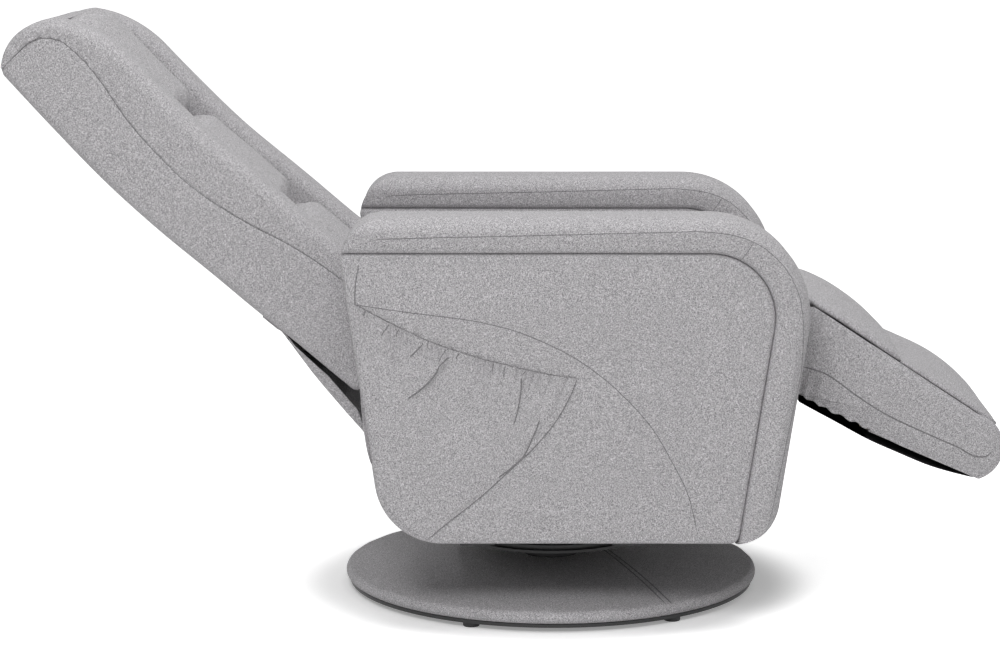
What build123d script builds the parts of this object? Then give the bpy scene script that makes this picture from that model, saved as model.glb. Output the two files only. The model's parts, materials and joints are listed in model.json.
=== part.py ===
"""Push-back recliner on a round upholstered swivel base, drawn fully reclined.

The origin is on the floor, on the swivel axis. +Z is up, the sitter faces -Y and +X is
the sitter's left. All sizes are in millimetres. Side views are drawn in the YZ plane:
a point there is (y, z), and a body is drawn on the left, at +X, and mirrored.
"""

import os
from math import atan2, cos, degrees, hypot, radians, sin

from build123d import *

# fits
SEAT_GAP = 0.3  # between soft pieces and what they lie on
FIT = 0.05  # radial clearance of a running pin
BOLT_FIT = 0.05  # radial clearance of a bolt in its hole

# the width between the arms, which the frame, back and footrest are drawn to
SEAT_WIDTH = 440
ARM_INNER_X = SEAT_WIDTH / 2

# base disc and pedestal
BASE_R = 310
GLIDE_R = 12
GLIDE_H = 7
GLIDE_COUNT = 6
GLIDE_CIRCLE_R = BASE_R - 20
GLIDE_START = 36
RIM_PLATE_R = BASE_R - 6
RIM_PLATE_T = 5
BOARD_R = BASE_R - 12
BOARD_T = 12
COVER_RIM_Z = 30
COVER_HUB_Z = 45
PEDESTAL_R = 40
PEDESTAL_WALL = 4
FLANGE_R = 74
FLANGE_T = 6
FLANGE_BOLT_CIRCLE_R = 58
M8_R = 4
M8_HEAD_R = 6.5
M8_HEAD_H = 5

# swivel bearing
SWIVEL_PLATE_Z = 76
SWIVEL_PLATE_T = 4
RACE_R = 126
SWIVEL_PLATE_R = RACE_R + 19
RACE_HALF_WIDTH = 10
RACE_H = 6
BALL_R = 4
BALL_COUNT = 24
BALL_CLEARANCE = 0.15
CAGE_T = 2
SPINDLE_R = 10
TOP_PLATE_X = 260
TOP_PLATE_Y = 280
TOP_PLATE_T = 5
SWIVEL_BOLT_X = 105

# chassis
RAIL_Y = 110
RAIL_WIDTH = 50
RAIL_H = 24
RAIL_WALL = 2.5
MECH_T = 4
MECH_X = ARM_INNER_X - 20 - MECH_T  # inner face of each mechanism plate
MECH_FLANGE_WIDTH = 38
MECH_HOLE_R = 40
SEAT_TUBE = 22
SEAT_FRAME_Z = 378
SEAT_FRAME_FRONT = -205
SEAT_FRAME_REAR = 150
SPRING_R = 1.75
SPRING_PITCH = 22
SPRING_REACH = 22
SPRING_COUNT = 5
SPRING_SPACING = 68
ARM_BOLT_PLACES = [(-150, 180), (150, 180), (-150, 330), (100, 330)]
SPACER_R = 10
SKIRT_RAIL_Y = 262
SKIRT_RAIL_Z = 243
SKIRT_RAIL_H = 20
SKIRT_RAIL_T = 4
SKIRT_T = 2
SKIRT_HALF_WIDTH = ARM_INNER_X - 15
SKIRT_LAP_START = 146
SKIRT_LAP_END = 172
SKIRT_SAG = 3

# arms
ARM_THICK = 110
ARM_TOP = 593
ARM_BOTTOM = 134
ARM_FRONT = -377  # where the front edge's line meets the top
ARM_REAR = 306  # where the rear edge's line meets the top
ARM_FRONT_LEAN = 0.152
ARM_REAR_LEAN = 0.144
ARM_FRONT_TOP_R = 141
ARM_REAR_TOP_R = 62
ARM_FRONT_BOTTOM_R = 70
ARM_REAR_BOTTOM_R = 95
ROLL_DEPTH = 50
ROLL_EDGE_R = 24
ARM_PANEL_X = ARM_INNER_X + 6
ARM_PANEL_T = 24
ARM_PANEL_INSET = 14
ARM_PANEL_HOLE_R = 48
ARM_STRIP_HALF = 140
ARM_STRIP_H = 4
POCKET_T = 3

# seat cushion
SEAT_HALF_WIDTH = ARM_INNER_X - 4
SEAT_FRONT = -288
SEAT_REAR = 157
SEAT_CROWN_FRONT = 482
SEAT_CROWN_REAR = 462
SEAT_LIP_RISE = 24

# joints
RECLINE_Y = 192
RECLINE_Z = 408
RECLINE_TRAVEL = 32
FOOT_Y = -345
FOOT_Z = 448
FOOT_RATIO = 2
PIN_R = 6
PIVOT_EAR_R = 14
FOOT_LEVER = 80
LINK_PIN_R = 4
LINK_EYE_R = 12
SLOT_FIT = 1.4  # clearance of the link pin in the rod's slot, at its sides

# parts beside each other across the chair, from the inside out
BRACKET_X = MECH_X - 20
ROD_X = MECH_X - 14.5
LEVER_X = MECH_X - 9
STRAP_T = 4

# backrest: a straight lower part, a bend and a straight upper part
BACK_START = (282, 328)
BACK_ANGLE = 40
BACK_LOWER = 340
BACK_BEND = 200
BACK_TURN = 7.5
BACK_LENGTH = 676
BACK_HALF_WIDTH = ARM_INNER_X - 5
BACK_SKIN = 8
COVER_DEPTH = 85
BACK_THICK = 150
BACK_TUBE_R = 11
BACK_TUBE_WALL = 2
BACK_TUBE_X = LEVER_X - BACK_TUBE_R
BACK_TUBE_DEPTH = 23
BACK_CROSS_PLACES = [30, 345, BACK_LENGTH - 36]
STRAP_PLACES = [105, 190, 275, 430, 515, 595]
STRAP_WIDTH = 50
FOAM_DEPTH = 37
BOLSTER_WIDTH = 70
BACK_BOTTOM = 6
BOLSTER_EDGE_R = 16
COVER_EDGE_R = 10
TOP_ROLL = 25
PILLOW_BREAKS = [BACK_BOTTOM, 238, 450, BACK_LENGTH - 2]
PILLOW_CROWN = 160

# footrest: its side view in the open position
FOOT_INNER_Y = -372
FOOT_INNER_LOW_Z = 302
FOOT_INNER_TOP_Z = 449
FOOT_TOP_END = (-612, 292)
FOOT_TIP = (-649, 238)
FOOT_LOW_END = (-614, 197)
FOOT_HALF_WIDTH = MECH_X - 6
FOOT_NOTCH_Y = -455
FOOT_BOARD_T = 12
FOOT_BOARD_LENGTH = 247
FOOT_COVER_T = 1.2
FOOT_PAD_BREAK = 150
FOOT_PAD_CROWN = 26
FOOT_PAD_OVERHANG = 32
KNEE_HALF_WIDTH = FOOT_HALF_WIDTH - 4
KNEE_NECK_HALF_WIDTH = BRACKET_X - 3

nodes = {}


# ---------------------------------------------------------------- shared drawing helpers


def keep(name, *shapes):
    """Store the solids of one named piece, or of one group of like pieces."""
    solids = [solid for shape in shapes for solid in shape.solids()]
    nodes[name] = Compound(children=solids)


def side_slab(sketch, x0, x1):
    """Extrude a side view, drawn as (y, z), from x0 to x1."""
    return extrude(Plane.YZ.offset(x0) * sketch, amount=x1 - x0)


def both_sides(part):
    """The piece as drawn at +X, and its mirror image at -X."""
    return part, mirror(part, Plane.YZ)


def rounded(points, radii):
    """A closed side-view face with a named radius at each corner."""
    return make_face(FilletPolyline(*points, radius=radii, close=True))


def x_pin(radius, x0, x1, place):
    """A round bar along X at a (y, z) place."""
    return extrude(Plane.YZ.offset(x0) * Pos(*place) * Circle(radius), amount=x1 - x0)


def z_pin(radius, z0, z1, place=(0, 0)):
    """A round bar along Z at an (x, y) place."""
    return extrude(Plane.XY.offset(z0) * Pos(*place) * Circle(radius), amount=z1 - z0)


def round_places(count, radius, start=0):
    """Evenly spaced (x, y) places on a circle."""
    angles = [radians(start + 360 / count * i) for i in range(count)]
    return [(radius * cos(a), radius * sin(a)) for a in angles]


def soften(slab, run, radius):
    """Round the long edges that a side slab has along one run of its side view."""
    middles = [edge @ 0.5 for edge in run]
    chosen = [
        edge
        for edge in slab.edges()
        if any(hypot((edge @ 0.5).Y - m.X, (edge @ 0.5).Z - m.Y) < 0.1 for m in middles)
    ]
    return fillet(chosen, radius)


def cross_plane(y, z, angle):
    """A plane across the chair whose own y axis stands square to a slope of this angle."""
    a = radians(angle)
    return Plane(origin=(0, y, z), x_dir=(1, 0, 0), z_dir=(0, -cos(a), -sin(a)))


def crowned_section(plane, half_width, low, shoulder, crown, draw_in=5):
    """A cushion's cross-section: flat below, drawn-in sides, an arc over the top."""
    left_low = (-half_width + draw_in, low)
    left_high = (-half_width + draw_in, shoulder)
    right_low = (half_width - draw_in, low)
    right_high = (half_width - draw_in, shoulder)
    middle = (low + shoulder) / 2
    edges = [
        Line(left_low, right_low),
        ThreePointArc(right_low, (half_width, middle), right_high),
        ThreePointArc(right_high, (0, crown), left_high),
        ThreePointArc(left_high, (-half_width, middle), left_low),
    ]
    return plane * make_face(edges)


# ---------------------------------------------------------------- base disc and pedestal

plate_z = GLIDE_H
board_z = plate_z + RIM_PLATE_T
flange_z = board_z + BOARD_T
flange_top = flange_z + FLANGE_T
nut_top = flange_top + M8_HEAD_H
flange_bolt_places = round_places(4, FLANGE_BOLT_CIRCLE_R, 45)


def make_base():
    glide = z_pin(GLIDE_R, 0, GLIDE_H)
    glide = fillet(glide.edges().sort_by(Axis.Z)[0], 1.5)
    keep("floor_glides", *[
        Pos(x, y, 0) * glide for x, y in round_places(GLIDE_COUNT, GLIDE_CIRCLE_R, GLIDE_START)
    ])
    holes = [z_pin(M8_R + BOLT_FIT, plate_z, flange_top, place) for place in flange_bolt_places]
    keep("base_rim_plate", z_pin(RIM_PLATE_R, plate_z, board_z) - holes)
    keep("base_board", z_pin(BOARD_R, board_z, flange_z) - holes)
    keep("base_fabric_cover", base_cover())
    keep("pedestal", pedestal() - holes)
    bolts = []
    for place in flange_bolt_places:
        shank = z_pin(M8_R, plate_z, nut_top, place)
        nut = z_pin(M8_HEAD_R, flange_top, nut_top, place)
        bolts.append(shank + nut)
    keep("pedestal_bolts", *bolts)


def base_cover():
    """The padded cloth over the disc: a low dome with a rounded rim and a hub recess."""
    low = board_z + SEAT_GAP
    inner_r = BOARD_R + SEAT_GAP
    hole_r = PEDESTAL_R + 1
    recess_r = FLANGE_R + 1
    recess_z = nut_top + 1
    rim_top = (BASE_R - 8, COVER_RIM_Z)
    outline = [
        Line((inner_r, low), (BASE_R - 3, low)),
        ThreePointArc((BASE_R - 3, low), (BASE_R, low + 8), rim_top),
        ThreePointArc(rim_top, (BASE_R * 0.55, COVER_HUB_Z - 5), (hole_r, COVER_HUB_Z)),
        Line((hole_r, COVER_HUB_Z), (hole_r, recess_z)),
        Line((hole_r, recess_z), (recess_r, recess_z)),
        Line((recess_r, recess_z), (recess_r, flange_z + SEAT_GAP)),
        Line((recess_r, flange_z + SEAT_GAP), (inner_r, flange_z + SEAT_GAP)),
        Line((inner_r, flange_z + SEAT_GAP), (inner_r, low)),
    ]
    return revolve(Plane.XZ * make_face(outline), Axis.Z)


def pedestal():
    """A flanged steel tube."""
    tube = z_pin(PEDESTAL_R, flange_z, SWIVEL_PLATE_Z)
    bore = z_pin(PEDESTAL_R - PEDESTAL_WALL, flange_z, SWIVEL_PLATE_Z)
    return z_pin(FLANGE_R, flange_z, flange_top) + tube - bore


# ---------------------------------------------------------------- swivel bearing

lower_race_z = SWIVEL_PLATE_Z + SWIVEL_PLATE_T
ball_z = lower_race_z + RACE_H + CAGE_T
upper_race_z = ball_z + CAGE_T
top_plate_z = upper_race_z + RACE_H
rail_z = top_plate_z + TOP_PLATE_T
rail_top = rail_z + RAIL_H
swivel_bolt_places = [(x, y) for x in (-SWIVEL_BOLT_X, SWIVEL_BOLT_X) for y in (-RAIL_Y, RAIL_Y)]


def race(z0):
    """A bearing ring with a round groove for the balls."""
    ring = z_pin(RACE_R + RACE_HALF_WIDTH, z0, z0 + RACE_H)
    ring -= z_pin(RACE_R - RACE_HALF_WIDTH, z0, z0 + RACE_H)
    groove = revolve(Plane.XZ * Pos(RACE_R, ball_z) * Circle(BALL_R + BALL_CLEARANCE), Axis.Z)
    return ring - groove


def make_swivel():
    spindle_hole = z_pin(SPINDLE_R + FIT, SWIVEL_PLATE_Z, rail_z)
    lower = z_pin(SWIVEL_PLATE_R, SWIVEL_PLATE_Z, lower_race_z) - spindle_hole
    keep("lower_swivel_plate", lower)
    keep("lower_race", race(lower_race_z))
    keep("upper_race", race(upper_race_z))
    places = round_places(BALL_COUNT, RACE_R)
    keep("bearing_balls", *[Pos(x, y, ball_z) * Sphere(BALL_R) for x, y in places])
    cage = z_pin(RACE_R + 7, ball_z - CAGE_T / 2, ball_z + CAGE_T / 2)
    cage -= z_pin(RACE_R - 7, ball_z - CAGE_T / 2, ball_z + CAGE_T / 2)
    cage -= [z_pin(BALL_R + BALL_CLEARANCE, ball_z - CAGE_T, ball_z + CAGE_T, p) for p in places]
    keep("ball_cage", cage)
    washer_z = rail_z + SEAT_GAP
    head = z_pin(SPINDLE_R + 6, SWIVEL_PLATE_Z - 6, SWIVEL_PLATE_Z)
    keep("swivel_spindle", head + z_pin(SPINDLE_R, SWIVEL_PLATE_Z, washer_z + 11))
    keep("spindle_washer", z_pin(20, washer_z, washer_z + 2) - z_pin(SPINDLE_R, washer_z, washer_z + 2))
    nut = extrude(Plane.XY.offset(washer_z + 2) * RegularPolygon(16, 6), amount=9)
    keep("spindle_nut", nut - z_pin(SPINDLE_R, washer_z, washer_z + 11))
    top = extrude(
        Plane.XY.offset(top_plate_z) * RectangleRounded(TOP_PLATE_X, TOP_PLATE_Y, 12),
        amount=TOP_PLATE_T,
    )
    holes = [z_pin(M8_R + BOLT_FIT, top_plate_z, rail_z, p) for p in swivel_bolt_places]
    keep("upper_swivel_plate", top - spindle_hole - holes)
    keep("swivel_bolts", *[
        rail_bolt(place, top_plate_z, rail_top) for place in swivel_bolt_places
    ])


def rail_bolt(place, low, high):
    """A bolt with its head under low and its nut over high."""
    shank = z_pin(M8_R, low, high, place)
    head = z_pin(M8_HEAD_R, low - M8_HEAD_H, low, place)
    return shank + head + z_pin(M8_HEAD_R, high, high + M8_HEAD_H, place)


# ---------------------------------------------------------------- chassis

mech_outer = MECH_X + MECH_T
flange_top_z = rail_top + MECH_T
flange_bolt_x = MECH_X - 20


def make_chassis():
    rails = []
    for y in (-RAIL_Y, RAIL_Y):
        middle = Pos(0, y, rail_z + RAIL_H / 2)
        rail = middle * Box(2 * MECH_X, RAIL_WIDTH, RAIL_H)
        rail -= middle * Box(2 * MECH_X, RAIL_WIDTH - 2 * RAIL_WALL, RAIL_H - 2 * RAIL_WALL)
        for x in (-flange_bolt_x, -SWIVEL_BOLT_X, SWIVEL_BOLT_X, flange_bolt_x):
            rail -= z_pin(M8_R + BOLT_FIT, rail_z, rail_top, (x, y))
        rails.append(rail)
    keep("cross_rails", *rails)
    left, right = both_sides(mechanism_plate())
    keep("mechanism_plate_left", left)
    keep("mechanism_plate_right", right)
    keep("flange_bolts", *[
        rail_bolt((x, y), rail_z, flange_top_z)
        for x in (-flange_bolt_x, flange_bolt_x)
        for y in (-RAIL_Y, RAIL_Y)
    ])
    spacers = []
    bolts = []
    for place in ARM_BOLT_PLACES:
        spacer = x_pin(SPACER_R, mech_outer, ARM_INNER_X, place)
        spacers += both_sides(spacer - x_pin(M8_R + BOLT_FIT, mech_outer, ARM_INNER_X, place))
        bolt = x_pin(M8_R, MECH_X, ARM_PANEL_X + ARM_PANEL_T, place)
        bolts += both_sides(bolt + x_pin(M8_HEAD_R, MECH_X - M8_HEAD_H, MECH_X, place))
    keep("arm_spacers", *spacers)
    keep("arm_bolts", *bolts)
    skirt_rail = Pos(0, SKIRT_RAIL_Y + SKIRT_RAIL_T / 2, SKIRT_RAIL_Z + SKIRT_RAIL_H / 2)
    keep("skirt_rail", skirt_rail * Box(2 * MECH_X, SKIRT_RAIL_T, SKIRT_RAIL_H))
    pins = []
    bushes = []
    for inner_x, place in (
        (LEVER_X, (RECLINE_Y, RECLINE_Z)),
        (BRACKET_X, (FOOT_Y, FOOT_Z)),
    ):
        pin = x_pin(PIN_R, inner_x - 1, mech_outer, place)
        pins += both_sides(pin + x_pin(PIN_R + 4, mech_outer, mech_outer + 5, place))
        bushes += both_sides(pivot_bush(inner_x + STRAP_T, place))
    keep("pivot_pins", *pins)
    keep("pivot_bushes", *bushes)


def pivot_bush(inner_x, place):
    """The plastic bush between a moving strap and its mechanism plate."""
    start = inner_x + SEAT_GAP
    return x_pin(PIN_R + 5, start, MECH_X, place) - x_pin(PIN_R, start, MECH_X, place)


def mechanism_plate():
    """The left side plate: a web with ears at both pivots and a flange on the cross rails."""
    y0 = SEAT_FRAME_FRONT
    web = make_face(Polyline(
        (-190, rail_top),
        (190, rail_top),
        (200, SKIRT_RAIL_Z),
        (SKIRT_RAIL_Y + SKIRT_RAIL_T, SKIRT_RAIL_Z),
        (SKIRT_RAIL_Y + SKIRT_RAIL_T, SKIRT_RAIL_Z + SKIRT_RAIL_H),
        (RECLINE_Y + PIVOT_EAR_R, SKIRT_RAIL_Z + SKIRT_RAIL_H + 25),
        (RECLINE_Y + PIVOT_EAR_R, RECLINE_Z),
        (RECLINE_Y - PIVOT_EAR_R, RECLINE_Z),
        (RECLINE_Y - PIVOT_EAR_R - 12, SEAT_FRAME_Z),
        (SEAT_FRONT - 8, SEAT_FRAME_Z),
        (FOOT_Y + PIVOT_EAR_R, FOOT_Z),
        (FOOT_Y - PIVOT_EAR_R, FOOT_Z),
        (FOOT_Y - 7, FOOT_Z - 53),
        (FOOT_Y + 25, FOOT_Z - 103),
        (y0 + 15, FOOT_Z - 168),
        close=True,
    ))
    web += Pos(RECLINE_Y, RECLINE_Z) * Circle(PIVOT_EAR_R)
    web += Pos(FOOT_Y, FOOT_Z) * Circle(PIVOT_EAR_R)
    for y in (-100, 0, 100):
        web -= Pos(y, 250) * Circle(MECH_HOLE_R)
    for place in ((RECLINE_Y, RECLINE_Z), (FOOT_Y, FOOT_Z)):
        web -= Pos(*place) * Circle(PIN_R)
    for place in ARM_BOLT_PLACES:
        web -= Pos(*place) * Circle(M8_R + BOLT_FIT)
    plate = side_slab(web, MECH_X, mech_outer)
    flange = Pos(MECH_X - MECH_FLANGE_WIDTH / 2, 0, rail_top + MECH_T / 2) * Box(
        MECH_FLANGE_WIDTH, 380, MECH_T
    )
    plate += flange
    for y in (-RAIL_Y, RAIL_Y):
        plate -= z_pin(M8_R + BOLT_FIT, rail_top, flange_top_z, (flange_bolt_x, y))
    return plate


# ---------------------------------------------------------------- seat frame and cushion

seat_tube_x = MECH_X + SEAT_TUBE / 2
seat_low = SEAT_FRAME_Z + SEAT_TUBE + SEAT_GAP
spring_z = SEAT_FRAME_Z + SEAT_TUBE - 2 * SPRING_R


def make_seat():
    length = SEAT_FRAME_REAR - SEAT_FRAME_FRONT
    middle_y = (SEAT_FRAME_REAR + SEAT_FRAME_FRONT) / 2
    middle_z = SEAT_FRAME_Z + SEAT_TUBE / 2
    side = Pos(seat_tube_x, middle_y, middle_z) * Box(SEAT_TUBE, length, SEAT_TUBE)
    side -= Pos(seat_tube_x, middle_y, middle_z) * Box(SEAT_TUBE - 4, length, SEAT_TUBE - 4)
    keep("seat_side_rails", *both_sides(side))
    cross = []
    for y in (SEAT_FRAME_FRONT + SEAT_TUBE / 2, SEAT_FRAME_REAR - SEAT_TUBE / 2):
        tube = Pos(0, y, middle_z) * Box(2 * MECH_X, SEAT_TUBE, SEAT_TUBE)
        cross.append(tube - Pos(0, y, middle_z) * Box(2 * MECH_X, SEAT_TUBE - 4, SEAT_TUBE - 4))
    keep("seat_cross_rails", *cross)
    offsets = [SPRING_SPACING * (i - (SPRING_COUNT - 1) / 2) for i in range(SPRING_COUNT)]
    spring = wave_spring()
    keep("seat_springs", *[Pos(x, 0, 0) * spring for x in offsets])
    cover_z = SEAT_FRAME_Z - 1.5
    cover = Pos(0, middle_y, cover_z + 0.6) * Box(2 * MECH_X - 4, length - 4, 1.2)
    keep("seat_dust_cover", cover)
    keep("seat_cushion", seat_cushion())


def wave_spring():
    """One wave spring, a wire that runs from the front tube to the rear one."""
    start = SEAT_FRAME_FRONT + SEAT_TUBE
    end = SEAT_FRAME_REAR - SEAT_TUBE
    runs = int((end - start - SPRING_PITCH) / SPRING_PITCH)
    lead = (end - start - (runs - 1) * SPRING_PITCH) / 2
    points = [(0, start), (0, start + lead)]
    for i in range(runs):
        x = SPRING_REACH if i % 2 == 0 else -SPRING_REACH
        y = start + lead + i * SPRING_PITCH
        points += [(x, y), (x, y + SPRING_PITCH)]
    points = points[:-1]
    last_y = points[-1][1]
    points[-1] = (0, last_y)
    points.append((0, end))
    path = Plane.XY.offset(spring_z) * FilletPolyline(*points, radius=SPRING_PITCH / 2 - 0.2)
    section = Plane(origin=(0, start, spring_z), z_dir=(0, 1, 0)) * Circle(SPRING_R)
    return sweep(section, path=path)


def seat_cushion():
    """The seat cushion: crowned, drawn in at its sides and ends, with a cut-away front lip."""
    stations = [
        (SEAT_FRONT, -14, -22, -26),
        (SEAT_FRONT + 40, -2, -6, -4),
        ((SEAT_FRONT + SEAT_REAR) / 2, 0, 0, 0),
        (SEAT_REAR - 40, -2, -4, -4),
        (SEAT_REAR, -12, -14, -18),
    ]
    sections = []
    for y, width, shoulder, crown in stations:
        share = (y - SEAT_FRONT) / (SEAT_REAR - SEAT_FRONT)
        top = SEAT_CROWN_FRONT + share * (SEAT_CROWN_REAR - SEAT_CROWN_FRONT)
        sections.append(crowned_section(
            cross_plane(y, 0, 0), SEAT_HALF_WIDTH + width, seat_low,
            top - 24 + shoulder, top + crown,
        ))
    cushion = loft(sections)
    lip = make_face(Polyline(
        (SEAT_FRAME_FRONT, seat_low),
        (SEAT_FRONT - 1, seat_low + SEAT_LIP_RISE),
        (SEAT_FRONT - 1, seat_low - 1),
        (SEAT_FRAME_FRONT, seat_low - 1),
        close=True,
    ))
    return cushion - side_slab(lip, -SEAT_HALF_WIDTH - 5, SEAT_HALF_WIDTH + 5)


# ---------------------------------------------------------------- arms


def arm_front(z, inset=0):
    """The arm's front edge at a height, drawn in by an inset square to the edge."""
    return ARM_FRONT + (ARM_TOP - z) * ARM_FRONT_LEAN + inset * hypot(1, ARM_FRONT_LEAN)


def arm_rear(z, inset=0):
    """The arm's rear edge at a height, drawn in by an inset square to the edge."""
    return ARM_REAR - (ARM_TOP - z) * ARM_REAR_LEAN - inset * hypot(1, ARM_REAR_LEAN)


def arm_outline():
    corners = [
        (ARM_FRONT, ARM_TOP),
        (arm_front(ARM_BOTTOM), ARM_BOTTOM),
        (arm_rear(ARM_BOTTOM), ARM_BOTTOM),
        (ARM_REAR, ARM_TOP),
    ]
    radii = [ARM_FRONT_TOP_R, ARM_FRONT_BOTTOM_R, ARM_REAR_BOTTOM_R, ARM_REAR_TOP_R]
    return rounded(corners, radii)


def make_arms():
    outer_x = ARM_INNER_X + ARM_THICK
    outline = side_slab(arm_outline(), ARM_INNER_X, outer_x)
    below_roll = ARM_TOP - ROLL_DEPTH
    inside = rounded(
        [
            (arm_front(below_roll, ROLL_DEPTH), below_roll),
            (arm_front(60, ROLL_DEPTH), 60),
            (ARM_REAR + 60, 60),
            (ARM_REAR + 60, below_roll),
        ],
        [ARM_FRONT_TOP_R - ROLL_DEPTH, 1, 1, 1],
    )
    body = side_slab(inside, ARM_INNER_X, outer_x) & outline
    panel_top = below_roll - ARM_PANEL_INSET
    panel_low = ARM_BOTTOM + ARM_STRIP_H
    inset = ROLL_DEPTH + ARM_PANEL_INSET
    panel_points = [
        (arm_front(panel_top, inset), panel_top),
        (arm_front(panel_low, inset), panel_low),
        (arm_rear(panel_low, ARM_PANEL_INSET), panel_low),
        (arm_rear(panel_top, ARM_PANEL_INSET), panel_top),
    ]
    panel_radii = [70, 12, ARM_REAR_BOTTOM_R, 12]
    panel_face = rounded(panel_points, panel_radii)
    panel_end = ARM_PANEL_X + ARM_PANEL_T
    panel = side_slab(panel_face, ARM_PANEL_X, panel_end)
    body -= side_slab(offset(panel_face, SEAT_GAP), ARM_PANEL_X - SEAT_GAP, panel_end + SEAT_GAP)
    slot = Pos((ARM_PANEL_X + panel_end) / 2, 0, ARM_BOTTOM + ARM_STRIP_H / 2) * Box(
        ARM_PANEL_T + 2 * SEAT_GAP, 2 * ARM_STRIP_HALF + 2, 2 * ARM_STRIP_H
    )
    body -= slot
    for place in ARM_BOLT_PLACES:
        body -= x_pin(M8_R + 1, ARM_INNER_X, ARM_PANEL_X, place)
        panel -= x_pin(M8_R + BOLT_FIT, ARM_PANEL_X, panel_end, place)
    for y, z in [(-150, 430), (0, 430), (150, 430), (0, 255)]:
        panel -= x_pin(ARM_PANEL_HOLE_R, ARM_PANEL_X, panel_end, (y, z))
    strip = Pos((ARM_PANEL_X + panel_end) / 2, 0, ARM_BOTTOM + ARM_STRIP_H / 2) * Box(
        ARM_PANEL_T, 2 * ARM_STRIP_HALF, ARM_STRIP_H
    )
    for name, solid in (("arm_body", body), ("arm_roll", arm_roll() & outline)):
        left, right = both_sides(solid)
        keep(name + "_left", left)
        keep(name + "_right", right)
    keep("arm_panels", *both_sides(panel))
    keep("arm_bottom_strips", *both_sides(strip))
    keep("arm_pocket", arm_pocket(outer_x))


def arm_roll():
    """The padded roll along the arm's top and front, one rounded section swept in side view."""
    half = ROLL_DEPTH / 2
    middle = ARM_TOP - half
    path = Plane.YZ.offset(ARM_INNER_X + ARM_THICK / 2) * FilletPolyline(
        (ARM_REAR + 30, middle),
        (arm_front(middle, half), middle),
        (arm_front(ARM_BOTTOM - 30, half), ARM_BOTTOM - 30),
        radius=ARM_FRONT_TOP_R - half,
    )
    start = Plane(
        origin=(ARM_INNER_X + ARM_THICK / 2, ARM_REAR + 30, middle),
        x_dir=(1, 0, 0),
        z_dir=(0, -1, 0),
    )
    wide = ARM_THICK / 2
    section = rounded(
        [(-wide, -half), (wide, -half), (wide, half), (-wide, half)],
        [4, 4, ROLL_EDGE_R, ROLL_EDGE_R],
    )
    return sweep(start * section, path=path)


def arm_pocket(outer_x):
    """The flat cloth pocket on the right arm's outer face."""
    mouth_rear = (arm_rear(476, 3), 476)
    mouth_front = (-30, 371)
    low_front = (178, 142)
    edges = [
        ThreePointArc(mouth_rear, (120, 404), mouth_front),
        ThreePointArc(mouth_front, (60, 244), low_front),
        Line(low_front, (225, 175)),
        Line((225, 175), (arm_rear(240, 3), 240)),
        Line((arm_rear(240, 3), 240), mouth_rear),
    ]
    return side_slab(make_face(edges), -outer_x - SEAT_GAP, -outer_x - SEAT_GAP - POCKET_T)


# ---------------------------------------------------------------- backrest

bend_radius = BACK_BEND / radians(BACK_TURN)
bend_end = BACK_LOWER + BACK_BEND


def back_angle(s):
    """The back's slope, in degrees, at a distance along it."""
    return BACK_ANGLE + BACK_TURN * min(max((s - BACK_LOWER) / BACK_BEND, 0), 1)


def back_point(s, depth):
    """The (y, z) place at a distance along the back's rear face and a depth in from it."""
    a0, a = radians(BACK_ANGLE), radians(back_angle(s))
    straight = min(s, BACK_LOWER)
    beyond = max(s - bend_end, 0)
    y = BACK_START[0] + straight * cos(a0) + bend_radius * (sin(a) - sin(a0)) + beyond * cos(a)
    z = BACK_START[1] + straight * sin(a0) + bend_radius * (cos(a0) - cos(a)) + beyond * sin(a)
    return y - depth * sin(a), z + depth * cos(a)


def back_line(s0, s1, depth):
    """The line, arc and line that run along the back at one depth."""
    edges = []
    places = [s0] + [s for s in (BACK_LOWER, bend_end) if s0 < s < s1] + [s1]
    for a, b in zip(places, places[1:]):
        if a >= BACK_LOWER and b <= bend_end:
            edges.append(ThreePointArc(
                back_point(a, depth), back_point((a + b) / 2, depth), back_point(b, depth)
            ))
        else:
            edges.append(Line(back_point(a, depth), back_point(b, depth)))
    return edges


def back_band(s0, s1, depth0, depth1):
    """The side-view face between two distances along the back and two depths."""
    ends = [Line(back_point(s, depth0), back_point(s, depth1)) for s in (s0, s1)]
    return make_face(back_line(s0, s1, depth0) + back_line(s0, s1, depth1) + ends)


def bolster_run():
    """A bolster's outer run: up the back's front, over its top edge and down behind it."""
    turn = back_point(BACK_LENGTH - 116, BACK_THICK)
    shoulder = back_point(BACK_LENGTH + 5, BACK_THICK - 43)
    nose = back_point(BACK_LENGTH + TOP_ROLL, BACK_THICK - 95)
    heel = back_point(BACK_LENGTH + 6, 5)
    return back_line(BACK_BOTTOM, BACK_LENGTH - 116, BACK_THICK) + [
        ThreePointArc(turn, back_point(BACK_LENGTH - 42, BACK_THICK - 14), shoulder),
        ThreePointArc(shoulder, back_point(BACK_LENGTH + TOP_ROLL - 3, BACK_THICK - 77), nose),
        ThreePointArc(nose, back_point(BACK_LENGTH + TOP_ROLL - 5, 26), heel),
    ]


def make_bolster():
    """The left bolster, which lies on the cover's front and over its top edge."""
    inner = COVER_DEPTH + 1
    top = BACK_LENGTH + SEAT_GAP
    run = bolster_run()
    outline = run + [
        Line(back_point(BACK_LENGTH + 6, 5), back_point(top, 5)),
        Line(back_point(top, 5), back_point(top, inner)),
    ]
    outline += back_line(BACK_BOTTOM, top, inner)
    outline.append(Line(back_point(BACK_BOTTOM, inner), back_point(BACK_BOTTOM, BACK_THICK)))
    slab = side_slab(make_face(outline), BACK_HALF_WIDTH - BOLSTER_WIDTH, BACK_HALF_WIDTH)
    return soften(slab, run, BOLSTER_EDGE_R)


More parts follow.
